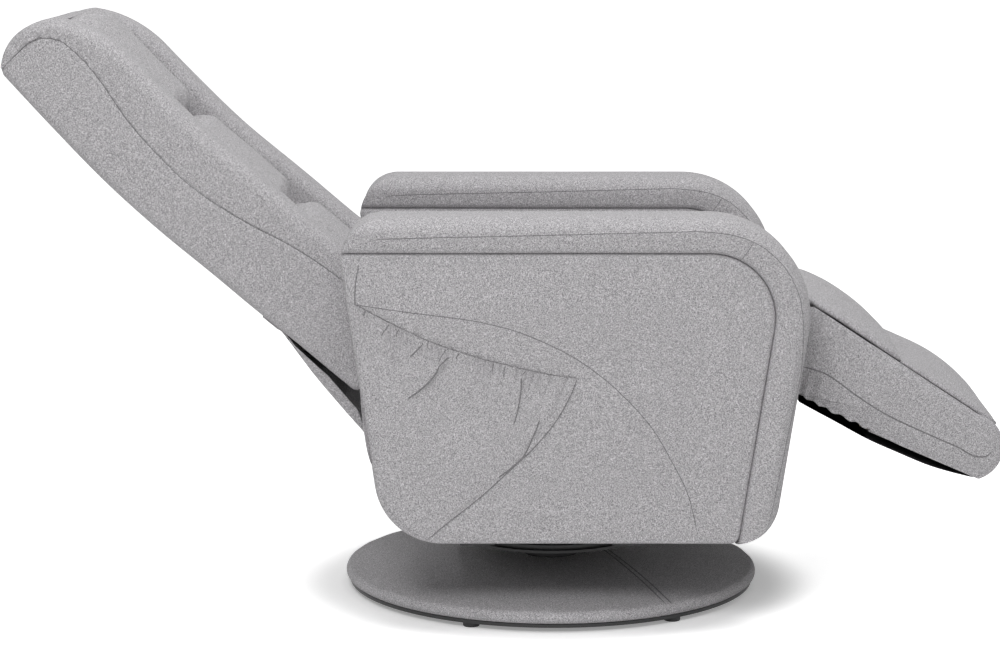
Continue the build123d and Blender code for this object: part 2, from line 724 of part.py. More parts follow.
def make_backrest():
    shell = side_slab(back_band(0, BACK_LENGTH, 0, COVER_DEPTH), -BACK_HALF_WIDTH, BACK_HALF_WIDTH)
    room = back_band(-1, BACK_LENGTH - BACK_SKIN, BACK_SKIN, COVER_DEPTH + 1)
    inner_x = BACK_HALF_WIDTH - BACK_SKIN
    shell = soften(shell, back_line(0, BACK_LENGTH, 0), COVER_EDGE_R)
    keep("back_cover", shell - side_slab(room, -inner_x, inner_x))
    tube_low = back_point(12, BACK_TUBE_DEPTH)
    tube_line = back_line(12, BACK_LENGTH - 24, BACK_TUBE_DEPTH)
    path = Plane.YZ.offset(BACK_TUBE_X) * Wire(tube_line)
    section = cross_plane(*tube_low, BACK_ANGLE) * Pos(BACK_TUBE_X, 0)
    tube = sweep(section * Circle(BACK_TUBE_R), path=path)
    tube -= sweep(section * Circle(BACK_TUBE_R - BACK_TUBE_WALL), path=path)
    keep("back_side_tubes", *both_sides(tube))
    cross_x = BACK_TUBE_X - BACK_TUBE_R
    keep("back_cross_tubes", *[
        x_pin(BACK_TUBE_R - 1, -cross_x, cross_x, back_point(s, BACK_TUBE_DEPTH))
        for s in BACK_CROSS_PLACES
    ])
    strap_depth = BACK_TUBE_DEPTH + BACK_TUBE_R + SEAT_GAP
    keep("back_webbing", *[
        side_slab(
            back_band(s - STRAP_WIDTH / 2, s + STRAP_WIDTH / 2, strap_depth, strap_depth + 2),
            -BACK_TUBE_X, BACK_TUBE_X,
        )
        for s in STRAP_PLACES
    ])
    foam_x = inner_x - SEAT_GAP
    foam = back_band(BACK_BOTTOM, BACK_LENGTH - BACK_SKIN - SEAT_GAP, FOAM_DEPTH, COVER_DEPTH)
    keep("back_foam", side_slab(foam, -foam_x, foam_x))
    make_levers()
    make_back_cushions()


def make_levers():
    """The steel levers that hang the backrest on its pins and drive the push rods."""
    pivot = (RECLINE_Y, RECLINE_Z)
    eye = rod_rear()
    hanger = make_face(Polyline(
        back_point(105, 12),
        back_point(105, 34),
        back_point(5, 34),
        back_point(-3, 70),
        back_point(-5, 119),
        back_point(-32, 119),
        back_point(-34, 60),
        back_point(-22, 12),
        close=True,
    ))
    drop_angle = atan2(eye[1] - pivot[1], eye[0] - pivot[0])
    across = (-sin(drop_angle) * LINK_EYE_R, cos(drop_angle) * LINK_EYE_R)
    drop = make_face(Polyline(
        (pivot[0] + across[0], pivot[1] + across[1]),
        (eye[0] + across[0], eye[1] + across[1]),
        (eye[0] - across[0], eye[1] - across[1]),
        (pivot[0] - across[0], pivot[1] - across[1]),
        close=True,
    ))
    shape = hanger + drop + Pos(*pivot) * Circle(PIVOT_EAR_R) + Pos(*eye) * Circle(LINK_EYE_R)
    shape -= Pos(*pivot) * Circle(PIN_R + FIT)
    shape -= Pos(*eye) * Circle(LINK_PIN_R)
    bolt_places = [back_point(s, BACK_TUBE_DEPTH) for s in (35, 85)]
    for place in bolt_places:
        shape -= Pos(*place) * Circle(M8_R + BOLT_FIT)
    keep("recline_levers", *both_sides(side_slab(shape, LEVER_X, LEVER_X + STRAP_T)))
    bolts = []
    for place in bolt_places:
        bolt = x_pin(M8_R, LEVER_X, LEVER_X + STRAP_T, place)
        bolt += x_pin(M8_HEAD_R, LEVER_X + STRAP_T, LEVER_X + STRAP_T + M8_HEAD_H, place)
        bolts += both_sides(bolt)
    keep("lever_bolts", *bolts)
    lever_pin = x_pin(LINK_PIN_R, ROD_X - 1, LEVER_X + STRAP_T, eye)
    lever_pin += x_pin(LINK_PIN_R + 3, ROD_X - 4, ROD_X - 1, eye)
    keep("lever_pins", *both_sides(lever_pin))


def make_back_cushions():
    """Two full-length side bolsters, a top roll and three sewn pillows between them."""
    left, right = both_sides(make_bolster())
    keep("bolster_left", left)
    keep("bolster_right", right)
    pillow_x = BACK_HALF_WIDTH - BOLSTER_WIDTH - SEAT_GAP
    top = BACK_LENGTH + SEAT_GAP
    roll = make_face([
        Line(back_point(top, 3), back_point(top, 100)),
        ThreePointArc(
            back_point(top, 100), back_point(top + 18, 82), back_point(top + TOP_ROLL - 4, 56)
        ),
        ThreePointArc(
            back_point(top + TOP_ROLL - 4, 56), back_point(top + 17, 26), back_point(top + 5, 3)
        ),
        Line(back_point(top + 5, 3), back_point(top, 3)),
    ])
    keep("back_top_roll", side_slab(roll, -pillow_x, pillow_x))
    names = ["lumbar_pillow", "middle_pillow", "head_pillow"]
    low = COVER_DEPTH + 1
    for name, s0, s1 in zip(names, PILLOW_BREAKS, PILLOW_BREAKS[1:]):
        a, b = s0 + SEAT_GAP, s1 - SEAT_GAP
        stations = [
            (a, -6, 34, PILLOW_CROWN - 28),
            (a + 22, -1, 38, PILLOW_CROWN - 8),
            ((a + b) / 2, 0, 40, PILLOW_CROWN),
            (b - 22, -1, 38, PILLOW_CROWN - 8),
            (b, -6, 34, PILLOW_CROWN - 28),
        ]
        sections = []
        for s, width, drop, crown in stations:
            plane = cross_plane(*back_point(s, 0), back_angle(s))
            sections.append(crowned_section(
                plane, pillow_x - 1.5 + width, low, crown - drop, crown, 4
            ))
        keep(name, loft(sections))


# ---------------------------------------------------------------- push rods


def rod_rear():
    """Where the rod's rear pin sits: its arc is level with the lever hanging half way."""
    half = radians(RECLINE_TRAVEL / 2)
    reach = FOOT_LEVER * sin(FOOT_RATIO * half) / sin(half)
    return RECLINE_Y - reach * sin(half), RECLINE_Z - reach * cos(half)


def rod_front():
    """Where the footrest's link pin sits when the footrest is open."""
    half = radians(FOOT_RATIO * RECLINE_TRAVEL / 2)
    return FOOT_Y - FOOT_LEVER * sin(half), FOOT_Z - FOOT_LEVER * cos(half)


def rod_slot_travel():
    """How far the link pin rises and falls in the rod's slot over the travel."""
    half = radians(RECLINE_TRAVEL / 2)
    reach = FOOT_LEVER * sin(FOOT_RATIO * half) / sin(half)
    return FOOT_LEVER * (1 - cos(FOOT_RATIO * half)) - reach * (1 - cos(half))


def make_rods():
    rear, front = rod_rear(), rod_front()
    travel = rod_slot_travel()
    middle = (front[0], front[1] - travel / 2)
    angle = atan2(middle[1] - rear[1], middle[0] - rear[0])
    across = (-sin(angle) * 9, cos(angle) * 9)
    bar = make_face(Polyline(
        (rear[0] + across[0], rear[1] + across[1]),
        (middle[0] + across[0], middle[1] + across[1]),
        (middle[0] - across[0], middle[1] - across[1]),
        (rear[0] - across[0], rear[1] - across[1]),
        close=True,
    ))
    shape = bar + Pos(*rear) * Circle(LINK_EYE_R) + Pos(*middle) * Circle(LINK_EYE_R)
    shape -= Pos(*rear) * Circle(LINK_PIN_R + FIT)
    shape -= Pos(*middle) * Rot(0, 0, 90) * SlotCenterToCenter(travel, 2 * (LINK_PIN_R + SLOT_FIT))
    keep("push_rods", *both_sides(side_slab(shape, ROD_X, ROD_X + STRAP_T)))


# ---------------------------------------------------------------- footrest

foot_low_start = (FOOT_INNER_Y, FOOT_INNER_LOW_Z)
foot_low_angle = atan2(FOOT_LOW_END[1] - FOOT_INNER_LOW_Z, FOOT_LOW_END[0] - FOOT_INNER_Y)
foot_top_slope = atan2(FOOT_INNER_TOP_Z - FOOT_TOP_END[1], FOOT_INNER_Y - FOOT_TOP_END[0])


def foot_low_point(along, height):
    """A (y, z) place measured along the footrest's underside and up from it."""
    c, s = cos(foot_low_angle), sin(foot_low_angle)
    return foot_low_start[0] + along * c + height * s, foot_low_start[1] + along * s - height * c


def foot_top_point(along, height):
    """A (y, z) place measured along the footrest's upper seam line and up from it."""
    c, s = cos(foot_top_slope), sin(foot_top_slope)
    return FOOT_INNER_Y - along * c - height * s, FOOT_INNER_TOP_Z - along * s + height * c


def foot_slab(along0, along1, height0, height1, half_width):
    face = make_face(Polyline(
        foot_low_point(along0, height0),
        foot_low_point(along1, height0),
        foot_low_point(along1, height1),
        foot_low_point(along0, height1),
        close=True,
    ))
    return side_slab(face, -half_width, half_width)


def make_footrest():
    board_low = FOOT_COVER_T + 0.3
    board_half = BRACKET_X
    board_x = board_half - 0.4
    outline = make_face([
        Line((FOOT_INNER_Y, FOOT_INNER_LOW_Z), (FOOT_INNER_Y, FOOT_INNER_TOP_Z)),
        Line((FOOT_INNER_Y, FOOT_INNER_TOP_Z), FOOT_TOP_END),
        ThreePointArc(FOOT_TOP_END, FOOT_TIP, FOOT_LOW_END),
        Line(FOOT_LOW_END, (FOOT_INNER_Y, FOOT_INNER_LOW_Z)),
    ])
    foam = side_slab(outline, -FOOT_HALF_WIDTH, FOOT_HALF_WIDTH)
    foam_room = side_slab(offset(outline, SEAT_GAP), -FOOT_HALF_WIDTH - 1, FOOT_HALF_WIDTH + 1)
    foam -= foot_slab(
        -1, FOOT_BOARD_LENGTH + 3.3, -1, board_low + FOOT_BOARD_T + SEAT_GAP, board_half
    )
    notch_depth = FOOT_HALF_WIDTH - board_half + 5
    for side in (-1, 1):
        foam -= Pos(side * (board_half - 0.4 + notch_depth / 2), FOOT_NOTCH_Y + 100, 350) * Box(
            notch_depth, 200, 400
        )
    keep("footrest_foam", foam)
    board = foot_slab(3, FOOT_BOARD_LENGTH, board_low, board_low + FOOT_BOARD_T, board_x)
    keep("footrest_board", board)
    keep("footrest_under_cover", foot_slab(3, FOOT_BOARD_LENGTH, 0.3, 0.3 + FOOT_COVER_T, board_x))
    make_brackets()
    make_foot_pads(foam_room)


def make_brackets():
    """The hinge brackets screwed to the edges of the footrest board, with their link pins."""
    link = rod_front()
    plate = make_face(Polyline(
        (FOOT_Y + PIVOT_EAR_R, FOOT_Z),
        (FOOT_Y - 4, FOOT_Z - 50),
        foot_low_point(6, 2),
        foot_low_point(64, 2),
        foot_low_point(64, 40),
        (link[0] - LINK_EYE_R, link[1]),
        (FOOT_Y - PIVOT_EAR_R, FOOT_Z),
        close=True,
    ))
    plate += Pos(FOOT_Y, FOOT_Z) * Circle(PIVOT_EAR_R) + Pos(*link) * Circle(LINK_EYE_R)
    plate -= Pos(FOOT_Y, FOOT_Z) * Circle(PIN_R + FIT)
    plate -= Pos(*link) * Circle(LINK_PIN_R)
    keep("footrest_brackets", *both_sides(side_slab(plate, BRACKET_X, BRACKET_X + STRAP_T)))
    pin = x_pin(LINK_PIN_R, BRACKET_X, ROD_X + STRAP_T + 1, link)
    keep("link_pins", *both_sides(pin))


def make_foot_pads(foam_room):
    """The lower pad lies on the foam and over its tip; the knee pad runs on to the seat."""
    slope = degrees(foot_top_slope)
    half = KNEE_HALF_WIDTH
    length = hypot(FOOT_TOP_END[0] - FOOT_INNER_Y, FOOT_TOP_END[1] - FOOT_INNER_TOP_Z)
    crown = FOOT_PAD_CROWN
    sections = []
    for along, width, shoulder, top in [
        (FOOT_PAD_BREAK + SEAT_GAP, -6, 2, crown * 0.35),
        (FOOT_PAD_BREAK + 22, -1, 5, crown * 0.85),
        ((FOOT_PAD_BREAK + length) / 2, 0, 6, crown),
        (length - 8, -1, 5, crown),
        (length + 14, -3, 5, crown * 0.85),
        (length + FOOT_PAD_OVERHANG, -10, 2, crown * 0.3),
    ]:
        plane = cross_plane(*foot_top_point(along, SEAT_GAP), slope)
        sections.append(crowned_section(plane, half + width, 0, shoulder, top, 2))
    keep("footrest_lower_pad", loft(sections) - foam_room)
    knee = []
    for y, z, angle, width, shoulder, top in [
        (SEAT_FRONT - 3, FOOT_INNER_TOP_Z + 6, 4, -8, 10, 20),
        (-330, FOOT_INNER_TOP_Z + 5, 10, -1, 10, 22),
        (-362, FOOT_INNER_TOP_Z + 1, 20, 0, 7, 21),
    ]:
        knee.append(crowned_section(cross_plane(y, z, angle), half + width, 0, shoulder, top, 2))
    for along, width, shoulder, top in [
        (30, 0, 6, crown),
        (FOOT_PAD_BREAK - 40, 0, 6, crown),
        (FOOT_PAD_BREAK - 18, -1, 5, crown * 0.85),
        (FOOT_PAD_BREAK - SEAT_GAP, -6, 2, crown * 0.35),
    ]:
        plane = cross_plane(*foot_top_point(along, SEAT_GAP), slope)
        knee.append(crowned_section(plane, half + width, 0, shoulder, top, 2))
    pad = loft(knee) - foam_room
    neck = KNEE_NECK_HALF_WIDTH
    for side in (-1, 1):
        pad -= Pos(side * (neck + 50), FOOT_INNER_Y + 100, FOOT_Z) * Box(100, 200, 200)
    keep("knee_pad", pad)


# ---------------------------------------------------------------- rear skirt


def make_skirt():
    """The cloth that hangs from the back's rear face to the chassis' skirt rail."""
    rail_y = SKIRT_RAIL_Y + SKIRT_RAIL_T + SEAT_GAP + SKIRT_T / 2
    lift = -SEAT_GAP - SKIRT_T / 2
    high = back_point(SKIRT_LAP_START, lift)
    start = (rail_y, SKIRT_RAIL_Z + SKIRT_RAIL_H - 4)
    sag = ((start[0] + high[0]) / 2 + SKIRT_SAG, (start[1] + high[1]) / 2 - SKIRT_SAG)
    path = FilletPolyline(
        (rail_y, SKIRT_RAIL_Z), start, sag, high, back_point(SKIRT_LAP_END, lift),
        radius=[12, 80, 30],
    )
    keep("rear_skirt", side_slab(trace(path, SKIRT_T), -SKIRT_HALF_WIDTH, SKIRT_HALF_WIDTH))


os.makedirs("parts", exist_ok=True)
make_base()
make_swivel()
make_chassis()
make_seat()
make_arms()
make_backrest()
make_rods()
make_footrest()
make_skirt()
for name, shape in nodes.items():
    export_step(shape, f"parts/{name}.step")
    print(name, len(shape.solids()), round(sum(s.volume for s in shape.solids())))
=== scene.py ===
"""Push-back recliner on a round upholstered swivel base, fully reclined, on a pale floor.

Lengths are in metres, in the part's own frame: the origin is on the floor on the swivel
axis, +Z is up, the sitter faces -Y and +X is the sitter's left.
"""

import json
from math import cos, hypot, pi, radians, sin

import bpy
import numpy as np
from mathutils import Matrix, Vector
from mathutils.bvhtree import BVHTree


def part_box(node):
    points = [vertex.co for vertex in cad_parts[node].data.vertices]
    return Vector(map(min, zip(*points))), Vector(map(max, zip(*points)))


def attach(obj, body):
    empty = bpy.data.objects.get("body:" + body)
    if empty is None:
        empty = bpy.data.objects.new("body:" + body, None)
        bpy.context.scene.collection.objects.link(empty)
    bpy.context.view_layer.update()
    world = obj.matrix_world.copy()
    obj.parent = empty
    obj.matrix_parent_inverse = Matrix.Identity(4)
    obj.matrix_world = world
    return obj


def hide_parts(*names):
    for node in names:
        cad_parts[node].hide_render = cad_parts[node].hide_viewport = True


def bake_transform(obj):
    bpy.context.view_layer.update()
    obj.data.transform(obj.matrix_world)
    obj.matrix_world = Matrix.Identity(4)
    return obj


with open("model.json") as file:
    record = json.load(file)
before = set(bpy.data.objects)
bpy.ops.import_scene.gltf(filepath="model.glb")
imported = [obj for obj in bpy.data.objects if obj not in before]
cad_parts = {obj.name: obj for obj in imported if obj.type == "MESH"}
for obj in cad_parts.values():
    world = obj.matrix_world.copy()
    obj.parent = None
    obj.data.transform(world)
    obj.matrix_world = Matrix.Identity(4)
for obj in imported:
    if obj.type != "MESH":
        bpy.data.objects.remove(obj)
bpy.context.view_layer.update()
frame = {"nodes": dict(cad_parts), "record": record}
nodes = frame["nodes"]

# ---------------------------------------------------------------- camera, floor and light
# The chair stands on a white sweep and is seen from its right side with a long lens,
# a little above the arms. One broad soft light is overhead, and a smaller one, high on the
# camera's left, rakes the pocket's gathers.

camera_place = (-4.0636, 0.077, 1.0364)
camera_pitch = 9.013
camera_lens = 98.64
room_light = 0.37
floor_lift_near = 0.26
floor_lift_far = 0.80
floor_lift_start = 0.318
floor_lift_end = 0.42

camera_data = bpy.data.cameras.new("photo_camera")
camera_data.lens = camera_lens
camera_data.sensor_width = 36
camera_data.clip_end = 60
camera = bpy.data.objects.new("photo_camera", camera_data)
camera.location = camera_place
camera.rotation_euler = (radians(90 - camera_pitch), 0, radians(-90))
bpy.context.scene.collection.objects.link(camera)
bpy.context.scene.camera = camera
bpy.context.scene.view_settings.view_transform = "Standard"


def set_inputs(tree, node, values):
    """Sets a node's named inputs: to a value, or by a link from another node's output."""
    for name, value in values.items():
        if isinstance(value, bpy.types.NodeSocket):
            tree.links.new(value, node.inputs[name])
        else:
            node.inputs[name].default_value = value


def add_node(tree, kind, values=(), **settings):
    """A new shader node with its settings and its inputs set."""
    node = tree.nodes.new("ShaderNode" + kind)
    for name, value in settings.items():
        setattr(node, name, value)
    set_inputs(tree, node, dict(values))
    return node


def add_math(tree, operation, first, second=0.5):
    """The output of a Math node on two sockets or numbers."""
    node = add_node(tree, "Math", operation=operation)
    set_inputs(tree, node, {0: first, 1: second})
    return node.outputs[0]


def seen_directly(tree):
    """1 for rays from the eye, straight, mirrored or through glass, and 0 for other light."""
    path = add_node(tree, "LightPath").outputs
    both = add_math(tree, "MAXIMUM", path["Is Camera Ray"], path["Is Glossy Ray"])
    return add_math(tree, "MAXIMUM", both, path["Is Transmission Ray"])


def make_world():
    """An even white room that looks pure white but lights the chair with less."""
    world = bpy.data.worlds.new("white_room")
    bpy.context.scene.world = world
    world.use_nodes = True
    tree = world.node_tree
    strength = add_node(tree, "MapRange", {
        "Value": seen_directly(tree), "To Min": room_light, "To Max": 1,
    })
    set_inputs(tree, tree.nodes["Background"], {
        "Color": (1, 1, 1, 1), "Strength": strength.outputs["Result"],
    })


def new_material(name):
    """A material, its node tree and its Principled BSDF."""
    material = bpy.data.materials.new(name)
    material.use_nodes = True
    return material, material.node_tree, material.node_tree.nodes["Principled BSDF"]


def new_mesh(name, places, faces):
    """A mesh from its vertices' places and its faces' corners."""
    mesh = bpy.data.meshes.new(name)
    mesh.from_pydata(places, [], faces)
    mesh.update()
    return mesh


def make_floor():
    """A wide floor that glows a little to the eye, least near the base, so its shadow stays."""
    reach = 30
    corners = [(-reach, -reach, 0), (reach, -reach, 0), (reach, reach, 0), (-reach, reach, 0)]
    mesh = new_mesh("floor", corners, [(0, 1, 2, 3)])
    floor = bpy.data.objects.new("floor", mesh)
    bpy.context.scene.collection.objects.link(floor)
    material, tree, surface = new_material("white_floor")
    place = add_node(tree, "TexCoord").outputs["Object"]
    away = add_node(tree, "VectorMath", {0: place}, operation="LENGTH").outputs["Value"]
    ramp = add_node(tree, "MapRange", {
        "Value": away, "From Min": floor_lift_start, "From Max": floor_lift_end,
        "To Min": floor_lift_near, "To Max": floor_lift_far,
    }, interpolation_type="SMOOTHSTEP")
    set_inputs(tree, surface, {
        "Base Color": (0.93, 0.93, 0.93, 1), "Roughness": 0.9, "Specular IOR Level": 0.1,
        "Emission Color": (1, 1, 1, 1),
        "Emission Strength": add_math(tree, "MULTIPLY", seen_directly(tree), ramp.outputs["Result"]),
    })
    mesh.materials.append(material)


def make_lamp(name, place, target, size, power):
    """A round area light at a place, aimed at a target."""
    data = bpy.data.lights.new(name, "AREA")
    data.shape = "DISK"
    data.size = size
    data.energy = power
    lamp = bpy.data.objects.new(name, data)
    lamp.location = place
    lamp.rotation_euler = (Vector(target) - Vector(place)).to_track_quat("-Z", "Y").to_euler()
    bpy.context.scene.collection.objects.link(lamp)


make_world()
make_floor()
make_lamp("overhead", (-0.6, -0.3, 3.4), (0, 0, 0.3), 2.2, 44)
make_lamp("camera_side", (-3.2, 0.7, 2.9), (0, 0, 0.45), 1.3, 53)

# ---------------------------------------------------------------- upholstery cloth
# A plain-woven polyester in light grey melange: light and dark yarns cross about 1 mm
# apart, so the cloth looks flecked close up and even from a few steps away.

cloth_light = (0.74, 0.722, 0.742)
cloth_dark = (0.115, 0.111, 0.1165)
yarn_spacing = 0.0011
fleck_length = 0.0027
fleck_width = 0.0009


def group_tree(name, inputs, outputs):
    """A shader node group with named sockets, and its input and output nodes."""
    tree = bpy.data.node_groups.new(name, "ShaderNodeTree")
    for socket, kind, value in inputs:
        made = tree.interface.new_socket(name=socket, in_out="INPUT", socket_type=kind)
        made.default_value = value
    for socket, kind in outputs:
        tree.interface.new_socket(name=socket, in_out="OUTPUT", socket_type=kind)
    return tree, tree.nodes.new("NodeGroupInput"), tree.nodes.new("NodeGroupOutput")


def build_weave_group():
    """Flecks are noise stretched along each axis in turn, and the largest of the three wins.

    The weave's height is a product of sines of the three coordinates, a checker of round
    bumps on any face.
    """
    tree, given, result = group_tree(
        "melange_weave",
        [
            ("Light", "NodeSocketColor", (*cloth_light, 1)),
            ("Dark", "NodeSocketColor", (*cloth_dark, 1)),
            ("Fleck", "NodeSocketFloat", 1.0),
        ],
        [("Color", "NodeSocketColor"), ("Height", "NodeSocketFloat")],
    )
    place = add_node(tree, "TexCoord").outputs["Object"]
    streaks = []
    for axis in range(3):
        scale = [1 / fleck_width] * 3
        scale[axis] = 1 / fleck_length
        mapping = add_node(tree, "Mapping", {
            "Vector": place, "Scale": scale, "Location": (axis * 7.3, axis * 3.1, axis * 5.7),
        })
        noise = add_node(tree, "TexNoise", {
            "Vector": mapping.outputs["Vector"], "Scale": 1.0, "Detail": 1.5, "Roughness": 0.6,
        })
        streaks.append(noise.outputs["Fac"])
    pair = add_math(tree, "MAXIMUM", streaks[0], streaks[1])
    flecks = add_math(tree, "MAXIMUM", pair, streaks[2])
    patches = add_node(tree, "TexNoise", {"Vector": place, "Scale": 520, "Detail": 3})
    spread = add_node(tree, "MapRange", {"Value": flecks, "From Min": 0.484, "From Max": 0.739})
    patch_part = add_math(tree, "MULTIPLY", patches.outputs["Fac"], 0.30)
    fleck_part = add_math(tree, "MULTIPLY", spread.outputs["Result"], given.outputs["Fleck"])
    mix = add_node(tree, "Mix", data_type="RGBA")
    set_inputs(tree, mix, {"Factor": add_math(tree, "ADD", patch_part, fleck_part)})
    tree.links.new(given.outputs["Dark"], mix.inputs["A"])
    tree.links.new(given.outputs["Light"], mix.inputs["B"])
    axes = add_node(tree, "SeparateXYZ", {0: place}).outputs
    waves = [
        add_math(tree, "SINE", add_math(tree, "MULTIPLY", axes[i], pi / yarn_spacing)) for i in range(3)
    ]
    checks = [add_math(tree, "MULTIPLY", waves[i], waves[(i + 1) % 3]) for i in range(3)]
    weave = add_math(tree, "ADD", add_math(tree, "ADD", checks[0], checks[1]), checks[2])
    woven = add_math(tree, "MULTIPLY", weave, 0.3)
    set_inputs(tree, result, {
        "Color": mix.outputs["Result"], "Height": add_math(tree, "ADD", woven, flecks),
    })
    return tree


weave_group = build_weave_group()


def make_cloth(name, light=cloth_light, dark=cloth_dark, fleck=1.0):
    """A woven upholstery material from the weave group."""
    material, tree, surface = new_material(name)
    weave = add_node(tree, "Group", node_tree=weave_group)
    set_inputs(tree, weave, {"Light": (*light, 1), "Dark": (*dark, 1), "Fleck": fleck})
    ripple = add_node(tree, "Bump", {
        "Height": weave.outputs["Height"], "Strength": 0.6, "Distance": 0.0004,
    })
    set_inputs(tree, surface, {
        "Base Color": weave.outputs["Color"], "Normal": ripple.outputs["Normal"],
        "Roughness": 0.88, "Specular IOR Level": 0.25, "Sheen Weight": 0.12, "Sheen Roughness": 0.5,
    })
    return material


grey_cloth = make_cloth("grey_melange_cloth")


def add_piece(name, mesh, body, replaced=(), material=grey_cloth):
    """A shown piece that rides on a body, with smooth shading."""
    mesh.name = name
    mesh.materials.clear()
    mesh.materials.append(material)
    mesh.shade_smooth()
    piece = bpy.data.objects.new(name, mesh)
    bpy.context.scene.collection.objects.link(piece)
    if body:
        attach(piece, body)
    if replaced:
        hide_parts(*replaced)
    return piece


def add_pad(node, mesh, body):
    """A grey cloth pad that stands for one CAD node and is named after it."""
    pad = add_piece(f"{node}_cloth", mesh, body, [node])
    return pad


def grid_mesh(points, close_ends=True):
    """A mesh from rings of points, one row of the grid for each ring.

    Each end row is closed with a fan on its centre, or left open.
    """
    rows, columns = points.shape[:2]
    corners = points.reshape(-1, 3)
    r, c = np.meshgrid(np.arange(rows - 1), np.arange(columns), indexing="ij")
    nxt = (c + 1) % columns
    quads = np.stack(
        [r * columns + c, r * columns + nxt, (r + 1) * columns + nxt, (r + 1) * columns + c], -1
    ).reshape(-1, 4)
    faces = quads.tolist()
    if close_ends:
        centres = np.stack([points[0].mean(0), points[-1].mean(0)])
        corners = np.vstack([corners, centres])
        ring = np.arange(columns)
        turned = np.roll(ring, -1)
        first = np.stack([turned, ring, np.full(columns, rows * columns)], -1)
        last_row = (rows - 1) * columns
        last = np.stack([ring + last_row, turned + last_row, np.full(columns, rows * columns + 1)], -1)
        faces += first.tolist() + last.tolist()
    return new_mesh("grid", corners.tolist(), faces)


def vertex_places(mesh):
    """The mesh's vertex positions as an array of rows."""
    flat = np.empty(len(mesh.vertices) * 3)
    mesh.vertices.foreach_get("co", flat)
    return flat.reshape(-1, 3)


def facing_out(mesh):
    """Turn a closed mesh's faces outwards if its volume comes out negative."""
    mesh.calc_loop_triangles()
    count = len(mesh.loop_triangles)
    index = np.empty(count * 3, np.int64)
    mesh.loop_triangles.foreach_get("vertices", index)
    a, b, c = np.moveaxis(vertex_places(mesh)[index.reshape(-1, 3)], 1, 0)
    if np.einsum("ij,ij->i", a, np.cross(b, c)).sum() < 0:
        mesh.flip_normals()
    return mesh


def closed_mesh(points):
    """A closed mesh from rings of points, its faces turned outwards."""
    return facing_out(grid_mesh(points))


def rounded_box(half_width, low, high, low_radius, high_radius, count):
    """A rounded rectangle's outline as count evenly spaced (x, height) points.

    It is walked by arc length from the middle of the bottom, round by +x.
    """
    w = half_width
    radii = (low_radius, high_radius, high_radius, low_radius)
    side = high - low - low_radius - high_radius
    runs = (side, 2 * (w - high_radius), side, 2 * (w - low_radius))
    around = sum(runs) + pi * (low_radius + high_radius)
    d = (np.arange(count) / count * around - (w - low_radius)) % around
    x, y = np.zeros(count), np.zeros(count)
    corners = [
        (w - low_radius, low + low_radius), (w - high_radius, high - high_radius),
        (high_radius - w, high - high_radius), (low_radius - w, low + low_radius),
    ]
    start = 0.0
    for i, ((cx, cy), r, run) in enumerate(zip(corners, radii, runs)):
        on_arc = (d >= start) & (d < start + pi * r / 2)
        angle = (i - 1) * pi / 2 + (d[on_arc] - start) / r
        x[on_arc] = cx + r * np.cos(angle)
        y[on_arc] = cy + r * np.sin(angle)
        start += pi * r / 2
        on_run = (d >= start) & (d <= start + run)
        along = d[on_run] - start
        heading = (i + 1) * pi / 2
        x[on_run] = cx + r * cos(heading - pi / 2) + along * cos(heading)
        y[on_run] = cy + r * sin(heading - pi / 2) + along * sin(heading)
        start += run
    return x, y


def soft_noise(points, scale, seed):
    """Smooth random values from -1 to 1: a sum of sine waves in random directions."""
    draw = np.random.default_rng(seed)
    total = np.zeros(points.shape[:-1])
    for _ in range(12):
        heading = draw.normal(size=3)
        heading *= scale * draw.uniform(0.5, 1.6) / np.linalg.norm(heading)
        total += np.sin(points @ heading + draw.uniform(0, 2 * pi))
    return total / 4.5


# ---------------------------------------------------------------- round base
# A plywood disc under padded cloth, stapled to a black steel plate that stands on six
# black plastic glides. The cloth is sewn from two halves, pulled round the rim.

disc_low, disc_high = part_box("base_fabric_cover")
disc_radius = disc_high.x
rim_low = disc_low.z + 0.0002
rim_round = 0.009
rim_shoulder = 0.0095
rim_top = 0.030
dome_top = disc_high.z
hub_radius = 0.042


def dome_height(radius):
    """The cover's height at a distance from the axis: it falls with a power of it."""
    return rim_top + (dome_top - rim_top) * (1 - (radius / disc_radius) ** 2.2)


def base_cloth_points():
    """Rings from under the rim, round it and up the dome to the hub.

    Radial folds stand up near the rim and fade inwards.
    """
    turn = np.linspace(0, 2 * pi, 361)[:-1]
    edge = np.linspace(-pi / 2, pi * 0.42, 15)
    radius = [disc_radius - 0.030, disc_radius - 0.016]
    height = [rim_low, rim_low]
    radius += list(disc_radius - rim_round + rim_round * np.cos(edge))
    rise = np.where(edge < 0, rim_round, rim_shoulder) * np.sin(edge)
    height += list(rim_low + rim_round + rise)
    inner = np.linspace(disc_radius - 0.011, hub_radius, 64)
    radius += list(inner)
    height += list(dome_height(inner))
    radius, height = np.array(radius)[:, None], np.array(height)[:, None]
    x = radius * np.cos(turn)
    y = radius * np.sin(turn)
    z = np.repeat(height, len(turn), 1)
    near_rim = np.exp(-((radius - disc_radius + 0.02) / 0.05) ** 2)
    near_rim = near_rim * (radius > 0.1) * (height > rim_low + rim_round)
    folds = np.sin(turn * 23 + 1.6 * np.sin(turn * 5)) * (0.35 + 0.65 * np.sin(turn * 2 + 0.6) ** 2)
    z = z + 0.0007 * folds * near_rim
    return np.stack([x, y, z], -1)


base_mesh = facing_out(grid_mesh(base_cloth_points(), close_ends=False))
base_cover = add_piece("base_cloth", base_mesh, "base", ["base_fabric_cover"])

# ---------------------------------------------------------------- black steel and plastic
# The plate, pedestal, swivel, rails, side plates, levers and rods are powder-coated
# steel; most fasteners, the balls and the springs are zinc-plated; glides and bushes are
# nylon. Inside are also black dust cloth and webbing, plywood and cream foam.


